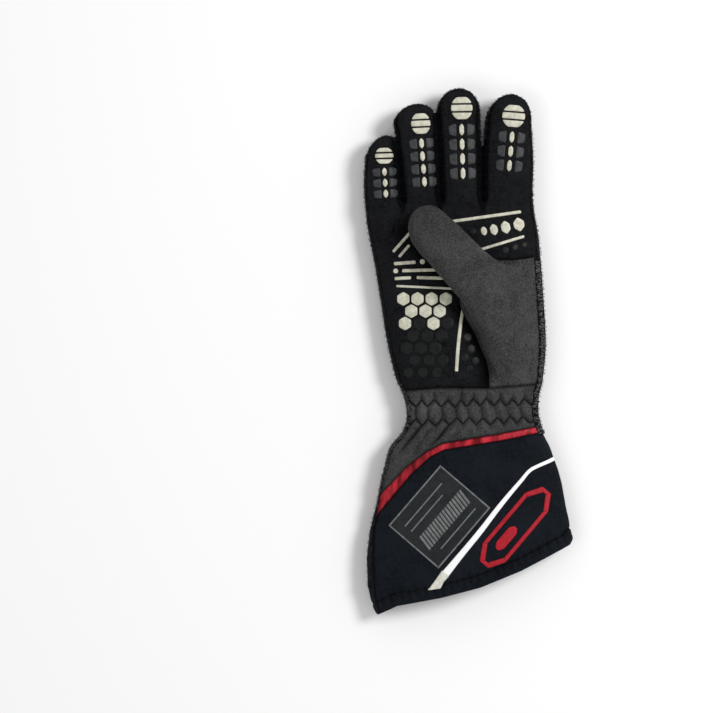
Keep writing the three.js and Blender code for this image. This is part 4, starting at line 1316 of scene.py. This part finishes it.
# Thread: stitches laid on the cloth, and the overlocked seams


def swept(line, radius, normals=(0.0, 0.0, 1.0), sides=6):
    """A round thread through points, with one radius or one for each point."""
    line = np.asarray(line, float)[:, :3]
    along = units(np.gradient(line, axis=0))
    side = units(np.cross(along, normals))
    up = np.cross(side, along)
    radii = (np.zeros(len(line)) + radius)[:, None, None]
    angles = (np.arange(sides) * 2 * math.pi / sides)[None, :, None]
    ring = line[:, None] + radii * np.cos(angles) * side[:, None] + radii * np.sin(angles) * up[:, None]
    return ring.reshape(-1, 3), grid(len(line), sides)


# Places along a stitch, how thick it is there, and how far it lifts off the cloth
STITCH_SHAPE = [
    (-0.5, 0.05, -0.45), (-0.44, 0.75, 0.1), (-0.2, 1.0, 0.55), (0.2, 1.0, 0.55), (0.44, 0.75, 0.1),
    (0.5, 0.05, -0.45),
]


def add_stitches(name, lines, surface, length, gap, radius, jitter, seed):
    """Separate stitches along lines, each a short rounded piece of thread that dips in at its ends."""
    draw = np.random.default_rng(seed)
    meshes = []
    for line in lines:
        fine = even_steps(np.asarray(line, float)[:, :3], 0.25)
        travel = 0.25 * np.arange(len(fine))
        at = gap / 2
        while at + length < travel[-1]:
            off = draw.uniform(-jitter, jitter, 2)
            a, b = (np.array([np.interp(x, travel, fine[:, k]) for k in range(3)]) for x in (at, at + length))
            across = np.cross(b - a, [0, 0, 1.0])
            across /= max(np.linalg.norm(across), 1e-9)
            points, normals = [], []
            for along, _, lift in STITCH_SHAPE:
                p = a + (b - a) * (along + 0.5) + across * (off[0] if along < 0 else off[1])
                hit, normal = surface.nearest(p)
                points.append(hit + normal * radius * lift)
                normals.append(normal)
            meshes.append(swept(points, radius * np.array(STITCH_SHAPE)[:, 1], normals))
            at += length + gap
    add_piece(name, *merged(meshes), THREAD, "seam_thread")


def on_surface(line, surface):
    return np.array([surface.down(x, y)[0] for x, y in np.asarray(line, float)[:, :2]])


def inset_line(line, by):
    """A smooth line moved to its left by a distance."""
    line = smooth_line(line, 0.8)[:, :2]
    return line + by * left_of(units(np.gradient(line, axis=0)))


# Seams between the fronts of the fingers and the strips beside them
finger_seams = [line for line in border_lines(front, WALL) if len(line) > 20]
add_stitches("finger_seam_stitches", finger_seams, hand_surface, 1.7, 0.9, 0.27, 0.1, 5)

suede_lines = [on_surface(inset_line(line, 1.8), suede_surface) for line in STITCHED_EDGES]
add_stitches("suede_edge_stitches", suede_lines, suede_surface, 1.9, 1.0, 0.24, 0.05, 8)

# Elastic zigzags round the wrist
zigzags = []
for row, (x0, x1) in enumerate([(-36.6, 40.5), (-37.0, 41.4)]):
    xs = np.arange(x0, x1, 0.35)
    zigzags.append(on_surface(np.stack([xs, zigzag(xs, row)], 1), wrist_surface))
add_stitches("elastic_zigzag", zigzags, wrist_surface, 1.5, 0.35, 0.3, 0.06, 6)

HEM_LINE = [
    (-58.6, -155.6), (-52.0, -156.4), (-44.6, -154.2), (-17.2, -148.9), (9.2, -142.0), (35.4, -131.6),
    (62.2, -117.0),
]
hem = [on_surface(smooth_line(HEM_LINE, 0.6), cuff_surface)]
add_stitches("hem_stitches", hem, cuff_surface, 2.3, 0.9, 0.26, 0.08, 7)

body_surface = Surface(*merged([front, walls, patch, wrist, band, cuff]))
# The lip of an overlocked seam: places across it, and how high it stands there
LIP_SHARES = np.array([0.0, 0.12, 0.35, 0.62, 0.85, 1.0])
LIP_HEIGHTS = np.array([0.35, 0.8, 1.0, 1.0, 0.7, -0.3])
LIP_STEP = 0.7


def lip_of(line, inward, lift, cover, seed):
    """Rows of points across a ruffled lip of cloth laid along a line, and the normals there."""
    travel = LIP_STEP * np.arange(len(line))
    wobble = np.stack([travel, 0 * travel, 0 * travel], 1)
    ruffle = 1 + 0.24 * lumps(wobble, 5.5, seed) + 0.14 * lumps(wobble, 2.2, seed + 1)
    uneven = 0.35 * lumps(wobble, 3.4, seed + 2)
    rows, ups = [], []
    for i, (x, y, width) in enumerate(line):
        full = width * cover + uneven[i]
        for share, height in zip(LIP_SHARES, LIP_HEIGHTS):
            if share == 0:
                base, normal = np.array([x, y, float(seam_height(y))]), np.array([*-inward[i], 0.0])
            else:
                base, normal = body_surface.down(*(np.array([x, y]) + inward[i] * (0.3 + full * share)))
            rows.append(base + normal * lift * height * ruffle[i])
            ups.append(normal)
    shape = len(line), len(LIP_SHARES), 3
    return np.array(rows).reshape(shape), np.array(ups).reshape(shape)


def seam_strip(name, line, seed, material, pitch, lift, cover, stand, *replaced):
    """An overlocked edge along a seam: a ruffled lip of cloth, the threads that bind it, and loose loops.

    The line runs anticlockwise round the glove, with its width as the third number. The threads are a
    pitch apart, the lip stands out by lift and covers the width times cover, and loops stand out by stand.
    """
    line = smooth_line(line, LIP_STEP)
    along = units(np.gradient(line[:, :2], axis=0))
    rows, ups = lip_of(line, left_of(along), lift, cover, seed)
    n, m = rows.shape[:2]
    add_piece(name + "_edge", rows.reshape(-1, 3), grid(n, m, False), SEAM_EDGE, "seam_thread", replaced)

    def at_place(where, share):
        """A place on the lip and its normal, by how far along it and across it."""
        i = int(np.clip(where / LIP_STEP, 0, n - 2))
        t = np.clip(where / LIP_STEP - i, 0, 1)
        k = int(np.clip(np.searchsorted(LIP_SHARES, share) - 1, 0, m - 2))
        s = (share - LIP_SHARES[k]) / (LIP_SHARES[k + 1] - LIP_SHARES[k])
        here, ahead = (row[k] * (1 - s) + row[k + 1] * s for row in rows[i : i + 2])
        return here * (1 - t) + ahead * t, ups[i, k]

    def laid(where, first, last, lean, radius):
        """A thread laid over the lip from one share of its width to another."""
        places = np.linspace(first, last, 6)
        points, normals = zip(*(at_place(where + lean * (share - 0.5), share) for share in places))
        normals = np.array(normals)
        return swept(np.array(points) + normals * 0.5 * radius, radius, normals, 5)

    draw = np.random.default_rng(seed)
    threads = []
    at = 0.5
    while at < LIP_STEP * (n - 1) - pitch:
        for lean in (1.3, -1.3):
            where = at + pitch / 2 + draw.uniform(-0.35, 0.35) * pitch
            first, last = draw.uniform(0.05, 0.25), draw.uniform(0.7, 0.95)
            threads.append(laid(where, first, last, lean * draw.uniform(0.4, 1.4), draw.uniform(0.17, 0.28)))
        for _ in range(4):
            first = draw.uniform(0.1, 0.75)
            last = first + draw.uniform(0.1, 0.22)
            lean = draw.uniform(-6, 6)
            threads.append(laid(at + draw.uniform(0, pitch), first, last, lean, draw.uniform(0.2, 0.34)))
        base, normal = at_place(at + draw.uniform(0, pitch), 0)
        i = int(np.clip(at / LIP_STEP, 0, n - 1))
        ahead = np.array([*along[i], 0.0]) * draw.uniform(0.3, 0.6)
        up = np.array([0, 0, draw.uniform(-0.5, 0.7)])
        high = normal * stand * draw.uniform(0.5, 1.3)
        rising, falling = base - ahead * 0.8 + high * 0.7, base + ahead * 0.8 + high * 0.7
        loop = [base - ahead, rising, base + high + up, falling, base + ahead]
        threads.append(swept(loop, 0.15, sides=5))
        at += pitch * draw.uniform(0.8, 1.2)
    add_piece(name + "_thread", *merged(threads), material, "seam_thread")


def stretch_of(line, low, high):
    """The stretch of a line of x, y, width between two places along the glove, from low to high."""
    x, y, width = np.array(sorted(line, key=lambda row: row[1]), float).T
    ys = np.array([low] + [place for place in y if low < place < high] + [high])
    return np.stack([np.interp(ys, y, x), ys, np.interp(ys, y, width)], 1)


PALM_END_Y = 60.5
WRIST_START_Y = -17.8
# Where the wrist's seam ends and the cuff's begins, under the middle of the band
BAND_SIDE_Y = -99.0
thumb_side = stretch_of(THUMB_SIDE_WELT, -52.0, PALM_END_Y)
index_side = stretch_of(THUMB_SIDE_WELT, PALM_END_Y, 148.0)
little_side = stretch_of(LITTLE_SIDE_WELT, WRIST_START_Y, 127.0)[::-1]
wrist_side = stretch_of(LITTLE_SIDE_WELT, BAND_SIDE_Y, WRIST_START_Y)[::-1]
cuff_side = stretch_of(LITTLE_SIDE_WELT, -150.5, BAND_SIDE_Y)[::-1]
seam_strip("thumb_side_seam", thumb_side, 61, SEAM_THREAD, 2.1, 1.0, 2.1, 0.7, "welt_thumb_side")
seam_strip("index_side_seam", index_side, 62, DARK_SEAM_THREAD, 1.8, 0.8, 1.3, 0.9)
seam_strip("little_side_seam", little_side, 63, DARK_SEAM_THREAD, 1.8, 0.8, 1.4, 0.7, "welt_little_side")
seam_strip("wrist_side_seam", wrist_side, 64, WRIST_SEAM_THREAD, 2.0, 0.8, 1.3, 0.7)
seam_strip("cuff_side_seam", cuff_side, 65, DARK_SEAM_THREAD, 2.0, 0.9, 0.95, 0.7)

# The same seam goes on round the free edge of each finger, lower and narrower: where it starts on the
# right and ends on the left
FREE_EDGES = {"index": (146, 136), "middle": (136, 153), "ring": (153, 138), "little": (135, 126)}
TIP_SEAM_WIDTH = 0.62
for number, (name, (right_from, left_to)) in enumerate(FREE_EDGES.items()):
    rows = finger_rows(name)
    up = rows[rows[:, 0] >= right_from]
    down = rows[rows[:, 0] >= left_to][::-1]
    edge = np.vstack([up[:, [2, 0]], down[:, [1, 0]]])
    edge = np.column_stack([edge, np.full(len(edge), TIP_SEAM_WIDTH)])
    seam_strip("tip_seam_" + name, edge, 70 + 3 * number, DARK_SEAM_THREAD, 1.7, 0.4, 1.4, 0.6)

# Loose fibres that stand on the knit and the suede, most of them where the cloth turns down at the sides


def scattered(points, tris, count, seed):
    """Random places on a mesh, thicker where it is steep, and the normals there."""
    draw = np.random.default_rng(seed)
    corners = points[tris]
    face = face_normals(points, tris)
    area = np.linalg.norm(face, axis=1)
    normals = face / np.maximum(area, 1e-12)[:, None]
    chance = area * (0.12 + (1 - np.abs(normals[:, 2])) ** 2)
    chance *= corners[:, :, 2].mean(1) > 1.5
    pick = draw.choice(len(tris), count, p=chance / chance.sum())
    a, b = draw.random((2, count, 1))
    over = a + b > 1
    a, b = np.where(over, 1 - a, a), np.where(over, 1 - b, b)
    first, second, third = corners[pick].transpose(1, 0, 2)
    return first + a * (second - first) + b * (third - first), normals[pick]


def fibres(places, normals, length, radius, seed):
    """Short curled fibres, thinner towards their ends."""
    draw = np.random.default_rng(seed)
    count = len(places)
    lean = units(np.cross(normals, draw.normal(size=(count, 3))))
    across = np.cross(normals, lean)
    long = length * draw.uniform(0.5, 1.3, (count, 1))
    curl = draw.uniform(0.3, 1.0, (count, 1))
    stations = []
    for t, thick in ((-0.1, 1.0), (0.45, 0.9), (0.8, 0.6), (1.0, 0.15)):
        spine = places + normals * long * (t - 0.4 * t * t) + lean * long * curl * t * abs(t)
        for k in range(3):
            angle = k * 2 * math.pi / 3
            stations.append(spine + radius * thick * (math.cos(angle) * across + math.sin(angle) * lean))
    points = np.stack(stations, 1)
    corners = [(ring * 3 + k, ring * 3 + (k + 1) % 3) for ring in range(3) for k in range(3)]
    faces = np.array([face for a, b in corners for face in ((a, b, a + 3), (b, b + 3, a + 3))])
    tris = (np.arange(count) * points.shape[1])[:, None, None] + faces
    return points.reshape(-1, 3), tris.reshape(-1, 3)


def add_fuzz(name, meshes, length, radius, seed, material, slot, count=7000):
    places = scattered(*merged(meshes), count, seed)
    add_piece(name, *fibres(*places, length, radius, seed + 1), material, slot)


add_fuzz("knit_fuzz", [front, back, walls], 0.85, 0.075, 81, KNIT_FUZZ, "black_knit")
add_fuzz("suede_fuzz", [patch, underside, wrist], 0.5, 0.06, 83, SUEDE_FUZZ, "grey_suede")

# Camera, light and floor

LIGHT_AIM = (-0.005, 0.0, 0.0)


def add_area(name, place, size, power):
    light = bpy.data.lights.new(name, "AREA")
    light.shape = "DISK"
    light.size = size
    light.energy = power
    made = linked(name, light)
    made.location = place
    made.rotation_euler = (Vector(LIGHT_AIM) - Vector(place)).to_track_quat("-Z", "Y").to_euler()


# In metres
PHOTO_WIDTH = 0.4563
PHOTO_CENTRE = (-0.0714, -0.0027)
CAMERA_HEIGHT = 2.4
PALM_MIDDLE_HEIGHT = 0.011

camera = bpy.data.cameras.new("camera")
camera.sensor_width = 36
camera.lens = 36 * CAMERA_HEIGHT / PHOTO_WIDTH
camera.clip_end = 20
camera_object = linked("camera", camera)
camera_object.location = (*PHOTO_CENTRE, CAMERA_HEIGHT + PALM_MIDDLE_HEIGHT)
bpy.context.scene.camera = camera_object

floor_corners = np.array([(-3000, -3000, 0), (3000, -3000, 0), (3000, 3000, 0), (-3000, 3000, 0)], float)
floor_mesh = blender_mesh("floor", floor_corners, np.array([[0, 1, 2, 3]]))
floor_mesh.materials.append(Recipe("floor", 0.9).done((0.95, 0.95, 0.95, 1), 0.1))
floor_object = linked("floor", floor_mesh)

world = bpy.data.worlds.new("studio")
world.use_nodes = True
world.node_tree.nodes["Background"].inputs["Color"].default_value = (1.0, 1.0, 1.0, 1)
world.node_tree.nodes["Background"].inputs["Strength"].default_value = 0.56
bpy.context.scene.world = world

add_area("key", (1.05, 0.5, 1.4), 0.6, 20)
add_area("fill", (-0.9, -0.4, 1.5), 1.0, 3)
bpy.context.scene.view_settings.view_transform = "Standard"
bpy.context.scene.view_settings.look = "None"
